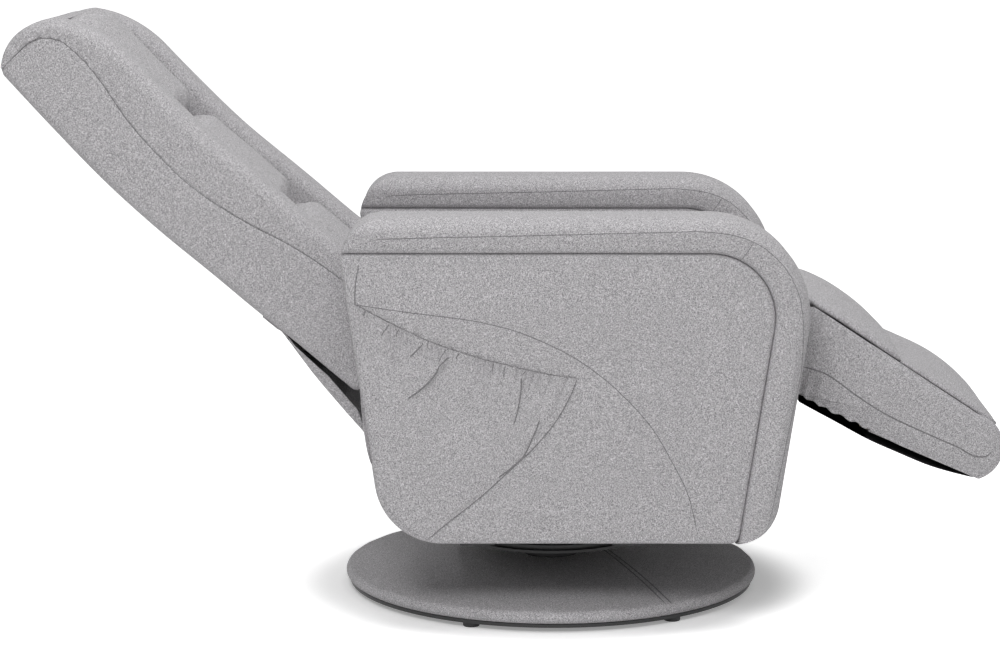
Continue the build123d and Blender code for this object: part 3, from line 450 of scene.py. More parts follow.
def make_hard(name, colour, roughness, metallic, grain, speckle):
    """A plain hard finish with a fine grain in its colour, roughness and surface."""
    material, tree, surface = new_material(name)
    place = add_node(tree, "TexCoord").outputs["Object"]
    noise = add_node(tree, "TexNoise", {"Vector": place, "Scale": grain, "Detail": 4}).outputs["Fac"]
    tint = add_node(tree, "MapRange", {"Value": noise, "To Min": 1 - speckle, "To Max": 1 + speckle})
    colours = add_node(tree, "Mix", data_type="RGBA", blend_type="MULTIPLY")
    set_inputs(tree, colours, {"Factor": 1, "A": (*colour, 1)})
    tree.links.new(tint.outputs["Result"], colours.inputs["B"])
    gloss = add_node(tree, "MapRange", {
        "Value": noise, "To Min": roughness * 0.8, "To Max": min(roughness * 1.25, 1),
    })
    bump = add_node(tree, "Bump", {"Height": noise, "Strength": 0.25, "Distance": 0.0002})
    set_inputs(tree, surface, {
        "Base Color": colours.outputs["Result"], "Metallic": metallic,
        "Roughness": gloss.outputs["Result"], "Normal": bump.outputs["Normal"],
    })
    return material


slot_materials = {
    "black_steel": make_hard("black_powder_coat", (0.022, 0.022, 0.023), 0.42, 0.0, 900, 0.25),
    "zinc_steel": make_hard("zinc_plate", (0.56, 0.57, 0.60), 0.33, 1.0, 260, 0.12),
    "black_plastic": make_hard("black_nylon", (0.020, 0.020, 0.021), 0.5, 0.0, 700, 0.15),
    "black_nonwoven": make_hard("black_dust_cloth", (0.014, 0.014, 0.015), 0.92, 0.0, 1400, 0.5),
    "black_elastic": make_hard("black_webbing", (0.03, 0.03, 0.031), 0.85, 0.0, 1100, 0.4),
    "plywood": make_hard("birch_plywood", (0.58, 0.43, 0.27), 0.6, 0.0, 90, 0.25),
    "foam_core": make_hard("cream_foam", (0.74, 0.70, 0.58), 0.95, 0.0, 1500, 0.2),
    "grey_weave": grey_cloth,
    "padded_panel": grey_cloth,
}
for part in frame["record"]["subparts"]:
    node = nodes[part["node"]]
    node.data.materials.clear()
    node.data.materials.append(slot_materials[part["material_slot"]])

# ---------------------------------------------------------------- arms
# Each arm is a plywood panel under foam. A padded roll runs along its top and down its
# front edge, and the cloth side panels are sewn to it in a deep seam.

arm_inner = 0.220
arm_outer = 0.330
arm_top = 0.593
arm_bottom = 0.134
arm_front_corner = -0.377
arm_rear_corner = 0.306
arm_front_lean = 0.152
arm_rear_lean = 0.144
roll_depth = 0.050
arm_radii = {"front_top": 0.141, "front_low": 0.070, "rear_low": 0.095, "rear_top": 0.062}
panel_centre = (-0.01, 0.33)
panel_edge_radius = 0.007
panel_bulge = 0.003
sides = ((-1, "right"), (1, "left"))


def run_length(line):
    """How far along a line each of its points is."""
    gap = np.linalg.norm(np.diff(line, axis=0), axis=1)
    return np.concatenate([[0], np.cumsum(gap)])


def resampled(line, count):
    """The line as count evenly spaced points, its end points kept."""
    along = run_length(line)
    want = np.linspace(0, along[-1], count)
    return np.stack([np.interp(want, along, line[:, k]) for k in range(line.shape[1])], -1)


def evenly(line, step):
    """The line as evenly spaced points about step apart, its end points kept."""
    return resampled(line, max(int(round(run_length(line)[-1] / step)), 2) + 1)


def corner_arc(a, b, c, radius, count):
    """The arc that rounds the corner at b, tangent to the runs from a and to c."""
    before = (a - b) / np.linalg.norm(a - b)
    after = (c - b) / np.linalg.norm(c - b)
    half = np.arccos(np.clip(before @ after, -1, 1)) / 2
    back = radius / np.tan(half)
    middle = b + (before + after) / np.linalg.norm(before + after) * radius / np.sin(half)
    first, last = b + before * back - middle, b + after * back - middle
    turn = np.arctan2(first[0] * last[1] - first[1] * last[0], first @ last)
    angle = np.linspace(0, turn, count)[:, None]
    side = np.array([-first[1], first[0]])
    return middle + first * np.cos(angle) + side * np.sin(angle)


def rounded_outline(corners, radii, step):
    """A closed outline with a round corner of each radius, as evenly spaced points."""
    corners = np.array(corners, float)
    after = np.roll(corners, -1, axis=0)
    arcs = [corner_arc(corners[i - 1], corners[i], after[i], radii[i], 25) for i in range(len(corners))]
    return evenly(np.vstack(arcs + [arcs[0][:1]]), step)


def arm_front_at(z, inset=0.0):
    """The y of the arm's leaning front edge at a height, or of a line inset from it."""
    return arm_front_corner + (arm_top - z) * arm_front_lean + inset * hypot(1, arm_front_lean)


def arm_rear_at(z, inset=0.0):
    """The y of the arm's leaning rear edge at a height, or of a line inset from it."""
    return arm_rear_corner - (arm_top - z) * arm_rear_lean - inset * hypot(1, arm_rear_lean)


def roll_lines(count):
    """The roll's inner seam line and outer line in side view, matched point by point.

    Both run from the rear end, forward along the top, round the corner and down the front.
    The outer line follows the arm's outline, so it drops round the rear corner.
    """
    seam_z = arm_top - roll_depth
    inner = [
        (arm_rear_at(seam_z, 0.003), seam_z),
        (arm_front_at(seam_z, roll_depth), seam_z),
        (arm_front_at(arm_bottom - 0.02, roll_depth), arm_bottom - 0.02),
    ]
    outer = [
        (arm_rear_at(arm_top), arm_top),
        (arm_front_at(arm_top), arm_top),
        (arm_front_at(arm_bottom - 0.02), arm_bottom - 0.02),
    ]
    front_r = arm_radii["front_top"]
    inner_line = bent_line(inner, front_r - roll_depth)
    outer_line = bent_line(outer, front_r)
    share = np.linspace(0, 1, count)
    return at_share(inner_line, share), at_share(outer_line, share)


def bent_line(corners, radius):
    """Two straight runs joined by an arc, as three lists of points: run, arc, run."""
    a, b, c = (np.array(p, float) for p in corners)
    arc = corner_arc(a, b, c, radius, 40)
    return [np.stack([a, arc[0]]), arc, np.stack([arc[-1], c])]


def at_share(runs, share):
    """Points along three runs, where each run takes its own fixed part of the share."""
    breaks = [0, 0.42, 0.68, 1]
    result = np.zeros((len(share), 2))
    for run, low, high in zip(runs, breaks, breaks[1:]):
        here = (share >= low) & (share <= high)
        local = (share[here] - low) / (high - low)
        spot, index = local * (len(run) - 1), np.arange(len(run))
        result[here] = np.stack([np.interp(spot, index, run[:, k]) for k in range(2)], -1)
    return result


def pulled_round(y, z, centre, radius, heading):
    """Side-view places outside a round corner, moved straight in onto its arc.

    heading is 1 for a corner that points up and rearwards, -1 for down and forwards.
    """
    over_y, over_z = y - centre[0], z - centre[1]
    reach = np.hypot(over_y, over_z)
    outside = (over_y * heading > 0) & (over_z * heading > 0) & (reach > radius)
    pull = np.where(outside, radius / np.maximum(reach, 1e-6), 1)
    return centre[0] + over_y * pull, centre[1] + over_z * pull


def roll_points(side):
    """The roll's surface: a rounded section set between the seam line and the outer line.

    The section's outer corners are wide and its seam corners tight, and its rear end
    shrinks to follow the arm's corner.
    """
    inner, outer = roll_lines(260)
    half = (arm_outer - arm_inner) / 2
    wide, tall = rounded_box(1, 0, 1, 0.16, 0.46, 120)
    rise = np.clip(tall, 0, 1)
    swell = 0.0025 * np.sin(rise * pi)
    x = (arm_inner + arm_outer) / 2 + wide * (half - 0.0005) + np.sign(wide) * swell
    x = np.repeat(x[None], len(inner), 0)
    place = inner[:, None] + (outer - inner)[:, None] * rise[None, :, None]
    y, z = place[..., 0], place[..., 1]
    rear_line = arm_rear_at(z)
    r = arm_radii["rear_top"]
    y, z = pulled_round(y, z, (arm_rear_at(arm_top - r) - r, arm_top - r), r, 1)
    y = np.minimum(y, rear_line)
    r = arm_radii["front_low"]
    y, z = pulled_round(y, z, (arm_front_at(arm_bottom + r) + r, arm_bottom + r), r, -1)
    points = np.stack([x * side, y, np.maximum(z, arm_bottom)], -1)
    points[..., 0] += 0.0006 * soft_noise(points, 26, 3 + side) * np.sign(x * side)
    return points


def quarter_round(share):
    """From 0 to 1 over a share of 0 to 1, risen as a quarter circle does."""
    return np.sqrt(1 - (1 - np.clip(share, 0, 1)) ** 2)


def face_rings(loop, centre, share, edge, bulge, power):
    """One face of a slab, across x: the loop drawn in to each share of its size.

    The x is 0 where the edge's round meets the face. It falls over the round, and rises by
    the bulge towards the centre with a power of the share.
    """
    spokes = loop - centre
    share = share[:, None]
    gap = np.linalg.norm(spokes, axis=1) * (1 - share)
    x = bulge * (1 - share**power) - edge * (1 - quarter_round(gap / edge))
    return np.concatenate([x[..., None], centre + spokes * share[..., None]], -1)


def arm_panel_points(side):
    """The arm's cloth box: two swollen faces, joined by the round edge between them."""
    seam_z = arm_top - roll_depth - 0.0002
    corners = [
        (arm_front_at(seam_z, roll_depth), seam_z),
        (arm_front_at(arm_bottom, roll_depth), arm_bottom),
        (arm_rear_at(arm_bottom), arm_bottom),
        (arm_rear_at(seam_z), seam_z),
    ]
    radii = [arm_radii["front_top"] - roll_depth, 0.012, arm_radii["rear_low"], 0.006]
    loop = rounded_outline(corners, radii, 0.006)[:-1]
    half = (arm_outer - arm_inner) / 2
    share = 1 - np.linspace(0.99, 0, 60) ** 1.5
    outer_face = face_rings(loop, panel_centre, share, panel_edge_radius, panel_bulge, 4)
    outer_face[..., 0] += half - 0.001
    points = np.concatenate([outer_face, outer_face[::-1] * (-1, 1, 1)])
    points[..., 0] = side * (points[..., 0] + (arm_outer + arm_inner) / 2)
    return points


arm_rolls, arm_panels = {}, {}
for side, tag in sides:
    roll = closed_mesh(roll_points(side))
    arm_rolls[side] = add_pad(f"arm_roll_{tag}", roll, "chassis")
    panel = closed_mesh(arm_panel_points(side))
    arm_panels[side] = add_pad(f"arm_body_{tag}", panel, "chassis")
right_panel = arm_panels[-1]

# ---------------------------------------------------------------- arm pocket and panel seams
# The right arm's outer panel carries a flat pocket with a gathered mouth. A lapped seam
# crosses the panel in an arc above it, from the rear edge down to the bottom edge.

pocket_mouth = [(0.281, 0.476), (0.236, 0.452), (0.187, 0.428), (0.160, 0.417), (0.105, 0.399),
                (0.049, 0.385), (0.008, 0.376), (-0.030, 0.371)]
pocket_edge = [(0.2665, 0.300), (0.254, 0.240), (0.242, 0.205), (0.224, 0.175), (0.203, 0.155),
               (0.190, 0.147), (0.182, 0.143), (0.178, 0.142)]
pocket_front = [(-0.030, 0.371), (-0.020, 0.345), (-0.001, 0.311), (0.028, 0.275), (0.063, 0.241),
                (0.105, 0.202), (0.147, 0.168), (0.178, 0.142)]
arc_seam = [(0.282, 0.474), (0.215, 0.464), (0.160, 0.457), (0.105, 0.449), (0.049, 0.434),
            (-0.006, 0.410), (-0.047, 0.385), (-0.089, 0.350), (-0.131, 0.304), (-0.159, 0.258),
            (-0.185, 0.205), (-0.200, 0.144)]


def curve_through(knots, count):
    """Evenly spaced points on a Catmull-Rom curve through the knots."""
    knots = np.array(knots, float)
    knots = np.vstack([2 * knots[0] - knots[1], knots, 2 * knots[-1] - knots[-2]])
    t = np.linspace(0, 1, 24)[:-1, None]
    runs = []
    for a, b, c, d in zip(knots, knots[1:], knots[2:], knots[3:]):
        runs.append(b + 0.5 * t * (c - a + t * (2 * a - 5 * b + 4 * c - d + t * (3 * (b - c) + d - a))))
    return resampled(np.vstack(runs + [knots[-2:-1]]), count)


def face_x(piece, y, z, side, inside=False):
    """The x of a piece's outer face, or its inner one, at each (y, z) place."""
    faces = [p.vertices for p in piece.data.polygons]
    tree = BVHTree.FromPolygons(vertex_places(piece.data).tolist(), faces)
    start, heading = (0, side) if inside else (side, -side)
    found = np.full(y.size, np.nan)
    for i, (a, b) in enumerate(zip(y.ravel(), z.ravel())):
        hit = tree.ray_cast(Vector((start, a, b)), Vector((heading, 0, 0)))[0]
        if hit:
            found[i] = hit.x
    good = np.isfinite(found)
    index = np.arange(found.size)
    return np.interp(index, index[good], found[good]).reshape(y.shape)


def pocket_points():
    """The pocket's cloth: rows from the mouth down to its lower edge.

    Its depth is a low swell, with puckers just under the mouth that die away in 15 mm and
    three long folds that run down from the mouth's front end.
    """
    across, down = 230, 150
    mouth = curve_through(pocket_mouth, across)
    front = curve_through(pocket_front, across)
    rear = curve_through([pocket_mouth[0]] + pocket_edge, across)
    u = np.linspace(0, 1, across)[None, :, None]
    v = np.linspace(0, 1, down)[:, None, None]
    front_down = curve_through(front, down)[:, None]
    rear_down = curve_through(rear, down)[:, None]
    straight = rear_down * (1 - u) + front_down * u
    place = straight + (1 - v) ** 2 * (mouth[None] - (rear_down[:1] * (1 - u) + front_down[:1] * u))
    y, z = place[..., 0], place[..., 1]
    u, v = u[..., 0], v[..., 0]
    edge = np.clip(np.minimum(np.minimum(u, 1 - u) * 12, np.minimum(1 - v, 0.08 + v) * 14), 0, 1)
    swell = 0.0026 * np.sin(pi * u) ** 0.7 * np.sin(pi * v) ** 0.7
    reach = 0.06 + 0.05 * np.sin(u * 41) ** 2
    wave = np.sin(u * 150 + 2.5 * np.sin(u * 31) + 2 * v)
    pucker = 0.0030 * np.exp(-v / reach) * np.sign(wave) * np.abs(wave) ** 0.6
    folds = np.zeros_like(y)
    for (y0, z0), (y1, z1), tall in (
        ((0.148, 0.405), (0.205, 0.340), 0.0030),
        ((0.051, 0.374), (0.066, 0.300), 0.0026),
        ((0.022, 0.312), (0.083, 0.226), 0.0030),
        ((0.184, 0.420), (0.203, 0.400), 0.0020),
        ((0.105, 0.392), (0.112, 0.362), 0.0016),
    ):
        run = np.array([y1 - y0, z1 - z0])
        length = np.linalg.norm(run)
        run /= length
        ahead = (y - y0) * run[0] + (z - z0) * run[1]
        aside = (y - y0) * -run[1] + (z - z0) * run[0] + 0.006 * np.sin(ahead / length * pi)
        fade = np.clip(ahead / 0.02, 0, 1) * np.clip((length - ahead) / 0.03, 0, 1)
        lip = np.where(aside > 0, np.exp(-aside / 0.009), np.exp(-((aside / 0.0022) ** 2)))
        dip = np.exp(-(((aside + 0.005) / 0.0035) ** 2))
        folds += fade * tall * (lip - 0.8 * dip)
    out = 0.0008 + edge * (swell + folds + 0.0004) + pucker * np.clip(edge * 3, 0, 1)
    face = face_x(right_panel, y, z, -1)
    return np.stack([face - 0.0003 - np.maximum(out, 0.0002), y, z], -1)


def flat_tube_mesh(points):
    """A closed mesh from rings whose first half is a front and whose second half is its back.

    The grid's two end rings are filled with quads that run from the front to the back.
    """
    mesh = grid_mesh(points, close_ends=False)
    rows, columns = points.shape[:2]
    faces = [tuple(p.vertices) for p in mesh.polygons]
    i = np.arange(columns // 2 - 1)
    quad = np.stack([i, i + 1, columns - 2 - i, columns - 1 - i], -1)
    faces += quad.tolist() + (quad[:, ::-1] + (rows - 1) * columns).tolist()
    return facing_out(new_mesh("closed", points.reshape(-1, 3).tolist(), faces))


def sheet_mesh(front, thickness, out):
    """A closed thin sheet from a grid of points, its back set thickness behind its front."""
    out = np.broadcast_to(np.asarray(out, float), front.shape)
    back = front - out * thickness
    return flat_tube_mesh(np.concatenate([front, back[:, ::-1]], axis=1))


pocket_mesh = sheet_mesh(pocket_points(), 0.0012, (-1, 0, 0))
pocket = add_piece("arm_pocket_cloth", pocket_mesh, "chassis", ["arm_pocket"])

# Seam, stitch and crease lines are strips of this darker cloth: painted shade of the hollows along
# them, over the line of the real thread where there is one.
seam_shade_cloth = make_cloth("seam_shadow_cloth", (0.40, 0.39, 0.402), (0.10, 0.098, 0.101), 0.6)


def thread(points, width, height, out):
    """A thin raised line: a low arched strip along points that tapers in at both ends."""
    out = np.broadcast_to(np.asarray(out, float), points.shape)
    run = np.gradient(points, axis=0)
    run /= np.linalg.norm(run, axis=1, keepdims=True)
    across = np.cross(run, out)
    across /= np.linalg.norm(across, axis=1, keepdims=True)
    share = np.linspace(0, 1, len(points))
    taper = (0.15 + 0.85 * np.clip(np.sin(pi * share) * 9, 0, 1))[:, None, None]
    place = np.array([-1.0, -0.7, 0.0, 0.7, 1.0, 1.0, -1.0])
    rise = np.array([0.0, 0.7, 1.0, 0.7, 0.0, -0.8, -0.8])
    rows = points[:, None] + across[:, None] * (place * width / 2)[None, :, None] * taper
    rows = rows + out[:, None] * (rise * height)[None, :, None]
    return closed_mesh(rows)


def face_seam(name, knots, piece, side, width, height, inside=False, body="chassis"):
    """A thin dark strip laid along a line on a piece's outer face, or its inner one: painted shade for
    the hollow along a seam or crease.
    """
    line = curve_through(knots, 190)
    points = np.column_stack([face_x(piece, line[:, 0], line[:, 1], side, inside), line])
    mesh = thread(points, width, height, (-side if inside else side, 0, 0))
    return add_piece(name, mesh, body, material=seam_shade_cloth)


# The panel's arc seam, the pocket's mouth hem and its front seam are drawn as dark strips: real seam
# lines, with painted shade of their hollows.
face_seam("right_panel_arc_seam", arc_seam, right_panel, -1, 0.0014, 0.0002)
face_seam("pocket_mouth_hem", pocket_mouth, pocket, -1, 0.0010, 0.0002)
face_seam("pocket_front_seam", pocket_front[::-1], pocket, -1, 0.0014, 0.0002)
# The crease lines and the short lines under the mouth are dark strips of painted shade for the hollows
# of the pocket's folds and gathers.
pocket_creases = [
    [(0.146, 0.401), (0.158, 0.391), (0.170, 0.372), (0.187, 0.355), (0.205, 0.342)],
    [(0.183, 0.420), (0.190, 0.412), (0.201, 0.400)],
    [(0.047, 0.372), (0.049, 0.350), (0.052, 0.330), (0.058, 0.305)],
    [(0.022, 0.312), (0.033, 0.285), (0.043, 0.262), (0.058, 0.247), (0.080, 0.230)],
]
for i, knots in enumerate(pocket_creases):
    face_seam(f"pocket_crease_shade_{i + 1}", knots, pocket, -1, 0.0024, 0.0003)
mouth_line = curve_through(pocket_mouth, 200)
for i in range(9):
    share = 0.07 + 0.82 * i / 9 + 0.03 * sin(i * 2.3)
    top = mouth_line[int(share * 199)]
    length = 0.008 + 0.012 * sin(i * 5.1) ** 2
    lean = 0.35 * sin(i * 1.7) + 0.35
    low = top + np.array([lean, -1.0]) * length
    knots = [tuple(top + (low - top) * 0.15), tuple((top + low) / 2 + (0.0006, 0)), tuple(low)]
    face_seam(f"mouth_pucker_shade_{i + 1}", knots, pocket, -1, 0.0018, 0.0002)

# The stitching along each roll and its tick at the front are real stitch lines drawn as dark strips
# with painted shade in them; the line inside each panel's rear edge is a dark strip of painted shade.
roll_stitch = [(0.262, 0.556), (0.253, 0.562), (0.214, 0.565), (-0.005, 0.570), (-0.165, 0.574),
               (-0.199, 0.5745), (-0.245, 0.569), (-0.277, 0.557), (-0.299, 0.541), (-0.318, 0.520),
               (-0.330, 0.498), (-0.338, 0.474), (-0.342, 0.435), (-0.341, 0.379), (-0.334, 0.342),
               (-0.323, 0.286), (-0.312, 0.230), (-0.302, 0.180), (-0.296, 0.158)]
roll_tick = [(-0.251, 0.531), (-0.262, 0.545), (-0.272, 0.560)]
rear_edge_shade = [(0.271, 0.530), (0.276, 0.500), (0.2765, 0.470), (0.271, 0.430), (0.263, 0.370),
             (0.254, 0.310)]
for side, tag in sides:
    for name, knots, width in (("roll_stitch", roll_stitch, 0.0013), ("roll_tick", roll_tick, 0.0011)):
        for face, inside in (("outer", False), ("inner", True)):
            face_seam(f"{name}_{tag}_{face}", knots, arm_rolls[side], side, width, 0.0002, inside)
    face_seam(f"rear_edge_shade_{tag}_outer", rear_edge_shade, arm_panels[side], side, 0.0018, 0.0003)

# ---------------------------------------------------------------- base cover seam
# Two rows of stitching run side by side from near the hub to the rim, front right, drawn as dark
# strips: the real stitch lines with painted shade in their hollows.

base_seams = [((0.055, -0.068), (-0.262, -0.160)), ((0.048, -0.077), (-0.258, -0.169))]
for i, (start, end) in enumerate(base_seams):
    line = np.linspace(start, end, 80)
    points = np.column_stack([line, dome_height(np.hypot(*line.T))])
    mesh = thread(points, 0.0022, 0.0004, (0, 0, 1))
    add_piece(f"base_seam_{i + 1}", mesh, "base", material=seam_shade_cloth)

# ---------------------------------------------------------------- backrest shell
# The back is a long padded board with a slight bend in its upper half. Its rear and
# sides are one stapled cloth cover, open at the bottom where the hinge levers run in.

back_start = (0.282, 0.328)
back_slope = radians(40)
back_turn = radians(7.5)
back_lower = 0.340
back_bend = 0.200
back_length = 0.676
back_half = 0.215
cover_depth = 0.085
cover_wall = 0.006
back_depth = 0.150


def back_place(s, depth):
    """The (y, z) place s along the back's rear face and depth in from it.

    The slope is constant up to the bend, grows evenly round it and is constant beyond.
    """
    s, depth = np.broadcast_arrays(np.asarray(s, float), depth)
    radius = back_bend / back_turn
    slope = back_slope + back_turn * np.clip((s - back_lower) / back_bend, 0, 1)
    straight = np.minimum(s, back_lower)
    beyond = np.maximum(s - back_lower - back_bend, 0)
    y = back_start[0] + straight * cos(back_slope) + radius * (np.sin(slope) - sin(back_slope))
    z = back_start[1] + straight * sin(back_slope) + radius * (cos(back_slope) - np.cos(slope))
    y = y + beyond * np.cos(slope) - depth * np.sin(slope)
    z = z + beyond * np.sin(slope) + depth * np.cos(slope)
    return np.stack([y, z], -1)


seam_s = [0.0, 0.124, 0.158, 0.198, 0.234, 0.254, 0.298, 0.338, 0.386, 0.436, 0.472, 0.506, 0.542,
          0.574, 0.602, 0.628, 0.648, 0.662, 0.672, 0.676, 0.679]
seam_depth = [0.112, 0.112, 0.110, 0.105, 0.098, 0.093, 0.085, 0.080, 0.078, 0.080, 0.082, 0.085,
              0.091, 0.096, 0.098, 0.097, 0.094, 0.085, 0.074, 0.066, 0.052]


def back_cover_points():
    """Rows along the back; each row is a U section, out along it and back inside it.

    The outer U has round corners and a slack middle, and the inner U lies a wall's
    thickness within it. The sides reach up to the bolsters' side seams.
    """
    s = np.concatenate([[0, 0.002], np.linspace(0.006, back_length - 0.02, 120)])
    s = np.concatenate([s, back_length - 0.02 + 0.022 * np.linspace(0, 1, 16)[1:]])
    corner = 0.012
    angle = np.linspace(0, pi / 2, 9)
    wall = np.linspace(cover_depth, corner, 14)[:-1]
    flat = np.linspace(-1, 1, 61)[1:-1] * (back_half - corner)
    x = np.concatenate([
        np.full(13, -back_half), -back_half + corner - corner * np.cos(angle), flat,
        back_half - corner + corner * np.sin(angle), np.full(13, back_half),
    ])
    depth = np.concatenate([
        wall, corner - corner * np.sin(angle), np.zeros(59),
        corner - corner * np.cos(angle), wall[::-1],
    ])
    inner_half = back_half - cover_wall
    inner_x = x * inner_half / back_half
    inner_depth = np.maximum(depth, cover_wall)
    ends = (s - s[0]) / (s[-1] - s[0])
    slack = np.sqrt(np.clip(np.sin(pi * ends), 0, 1))[:, None]
    swell = 0.0045 * slack * (1 - (x[None] / back_half) ** 4)
    reach = np.interp(s, seam_s, seam_depth)[:, None]
    up_side = (depth - corner) / (cover_depth - corner)
    scaled = np.where(depth > corner, corner + up_side * (reach - corner), depth)
    deep = scaled - swell * (depth[None] < 0.02)
    side_swell = 0.0012 * slack * np.sin(pi * np.clip(depth / cover_depth, 0, 1))[None]
    wide = x[None] + np.sign(x)[None] * side_swell * (np.abs(x) > back_half - 0.002)[None]
    draw_s = [0, 0.006, back_length - 0.006, back_length + 0.002]
    draw_in = np.interp(s, draw_s, [0.003, 0, 0, 0.003])[:, None]
    wide = wide * (1 - draw_in / back_half)
    outer = np.concatenate([wide[..., None], back_place(s[:, None], deep + draw_in)], -1)
    inner = np.concatenate([
        np.repeat(inner_x[None, :, None], len(s), 0),
        back_place(s[:, None], np.maximum(scaled, inner_depth[None])),
    ], -1)
    ripple = soft_noise(outer, 34, 11) * 0.0009 * slack
    outer[..., 2] -= ripple * (depth[None] < 0.02)
    return np.concatenate([outer, inner[:, ::-1]], 1)


add_pad("back_cover", flat_tube_mesh(back_cover_points()), "backrest")

# ---------------------------------------------------------------- bolsters and top roll
# A full-length bolster runs up each side of the back and over its top edge. Between their
# upper ends a short roll closes the back's top behind the head pillow.

bolster_width = 0.070
back_bottom = 0.006
bolster_radius = 0.020
bolster_top = [(-0.042, 0.136), (0.005, 0.107), (0.022, 0.073), (0.025, 0.055), (0.020, 0.026),
               (0.006, 0.005)]
bolster_inner_top = [(0.602, 0.0972), (0.628, 0.0962), (0.648, 0.0932), (0.6615, 0.085),
                     (0.6715, 0.074), (0.677, 0.062), (0.6785, 0.045), (0.678, 0.025),
                     (0.677, 0.006)]


def band_points(inner, outer, half, low_radius, radius, count, swell):
    """Rounded sections set between two matched side-view lines.

    Each row is a rounded rectangle as tall as the lines are apart, and its sides swell.
    """
    tall = np.linalg.norm(outer - inner, axis=1)
    rows = []
    for i in range(len(inner)):
        r = min(radius, tall[i] * 0.49, half * 0.98)
        x, up = rounded_box(half, 0, tall[i], min(low_radius, r), r, count)
        share = up / tall[i]
        x = x + np.sign(x) * swell * np.sin(np.clip(share, 0, 1) * pi) * (np.abs(x) > half * 0.5)
        place = inner[i] + (outer[i] - inner[i]) * share[:, None]
        rows.append(np.column_stack([x, place]))
    return np.array(rows)


def arc_through(a, b, c, count):
    """Points on the arc through three side-view places."""
    a, b, c = (np.array(p, float) for p in (a, b, c))
    d = 2 * (a[0] * (b[1] - c[1]) + b[0] * (c[1] - a[1]) + c[0] * (a[1] - b[1]))
    squares = [p @ p for p in (a, b, c)]
    centre = np.array([
        squares[0] * (b[1] - c[1]) + squares[1] * (c[1] - a[1]) + squares[2] * (a[1] - b[1]),
        squares[0] * (c[0] - b[0]) + squares[1] * (a[0] - c[0]) + squares[2] * (b[0] - a[0]),
    ]) / d
    start, middle, end = (np.arctan2(p[1] - centre[1], p[0] - centre[0]) for p in (a, b, c))
    whole = (end - start) % (2 * pi)
    if (middle - start) % (2 * pi) > whole:
        whole -= 2 * pi
    angle = start + np.linspace(0, whole, count)
    return centre + np.linalg.norm(a - centre) * np.stack([np.cos(angle), np.sin(angle)], -1)


def bolster_lines():
    """The bolster's inner and outer lines: up the front of the back, over and down behind."""
    turn_s = back_length - 0.116
    brow, shoulder, temple, nose, nape, heel = (
        back_place(back_length + past, depth) for past, depth in bolster_top
    )
    up = np.linspace(back_bottom, turn_s, 190)
    outer = np.vstack([
        back_place(up, back_depth),
        arc_through(back_place(turn_s, back_depth), brow, shoulder, 40)[1:],
        arc_through(shoulder, temple, nose, 24)[1:],
        arc_through(nose, nape, heel, 30)[1:],
    ])
    low = back_place(up, np.interp(up, seam_s, seam_depth) - 0.0008)
    over = [back_place(s, depth) for s, depth in bolster_inner_top]
    rest = curve_through([low[-1]] + over, len(outer) - 189)
    return np.vstack([low, rest[1:]]), outer


def bolster_points(side):
    """The bolster: crowned over its front, slack along its side, puckered at its upper seam.

    Its ends are drawn in round, and the side seam's puckers are short waves along the
    bolster that fade 30 mm up from the seam.
    """
    inner, outer = bolster_lines()
    half = bolster_width / 2
    points = band_points(inner, outer, half - 0.0006, 0.003, bolster_radius, 96, 0.0010)
    away = np.linalg.norm(points[..., 1:] - inner[:, None], axis=-1)
    run = run_length(outer)[:, None]
    outer_side = points[..., 0] > bolster_width * 0.3
    upper = np.clip((run - 0.42) / 0.12, 0.15, 1)
    pucker = np.sin(run * 330 + 3 * np.sin(run * 47)) * np.exp(-away / 0.016) * upper
    points[..., 0] += outer_side * 0.0012 * pucker
    tall = np.linalg.norm(outer - inner, axis=1, keepdims=True)
    crown = np.clip(away / tall, 0, 1)
    soft = soft_noise(points, 30, 21 + side) * 0.0012 * crown
    points[..., 1:] += (soft - 0.002 * crown)[..., None] * ((outer - inner) / tall)[:, None]
    shrink = np.maximum(quarter_round(run / 0.02), 0.02**0.5)
    centre = points.mean(1, keepdims=True)
    points = centre + (points - centre) * (0.55 + 0.45 * shrink)[..., None]
    points[..., 0] = side * (back_half - half + points[..., 0])
    return points


for side, tag in sides:
    add_pad(f"bolster_{tag}", closed_mesh(bolster_points(side)), "backrest")
# Along each side seam lies a dark strip: the real seam line, with painted shade of its hollow.
for side, tag in sides:
    line = back_place(seam_s[1:], np.array(seam_depth[1:]))
    points = np.insert(curve_through(line, 240), 0, side * (back_half - 0.0003), axis=1)
    seam = thread(points, 0.0015, 0.0004, (side, 0, 0))
    add_piece(f"back_side_seam_{tag}", seam, "backrest", material=seam_shade_cloth)


def top_roll_points():
    """The short roll between the bolsters' ends: two arcs over the back's upper edge."""
    top = back_length + 0.0003
    over = ((0.0015, 0.100), (0.018, 0.082), (0.021, 0.056), (0.017, 0.026), (0.005, 0.003))
    front, fore, crest, aft, rear = (back_place(top + past, depth) for past, depth in over)
    outer = np.vstack([arc_through(front, fore, crest, 24), arc_through(crest, aft, rear, 24)[1:]])
    inner = back_place(top, np.linspace(0.100, 0.003, len(outer)))
    return band_points(inner, outer, back_half - bolster_width - 0.0006, 0.006, 0.012, 110, 0)


add_pad("back_top_roll", closed_mesh(top_roll_points()), "backrest")

# ---------------------------------------------------------------- back foam in its cloth
# The foam core under the bolsters and pillows is wrapped in the chair's cloth. It shows
# only at the bottom of the narrow slits between them.

foam_s = np.linspace(back_bottom + 0.0005, back_length - 0.009, 120)
foam_half = 0.2062
foam_rear = 0.0375
foam_front = np.minimum(cover_depth - 0.0005, np.interp(foam_s, seam_s, seam_depth) - 0.0020)
foam_points = band_points(
    back_place(foam_s, foam_rear), back_place(foam_s, foam_front), foam_half, 0.004, 0.004, 90, 0,
)
add_pad("back_foam", closed_mesh(foam_points), "backrest")

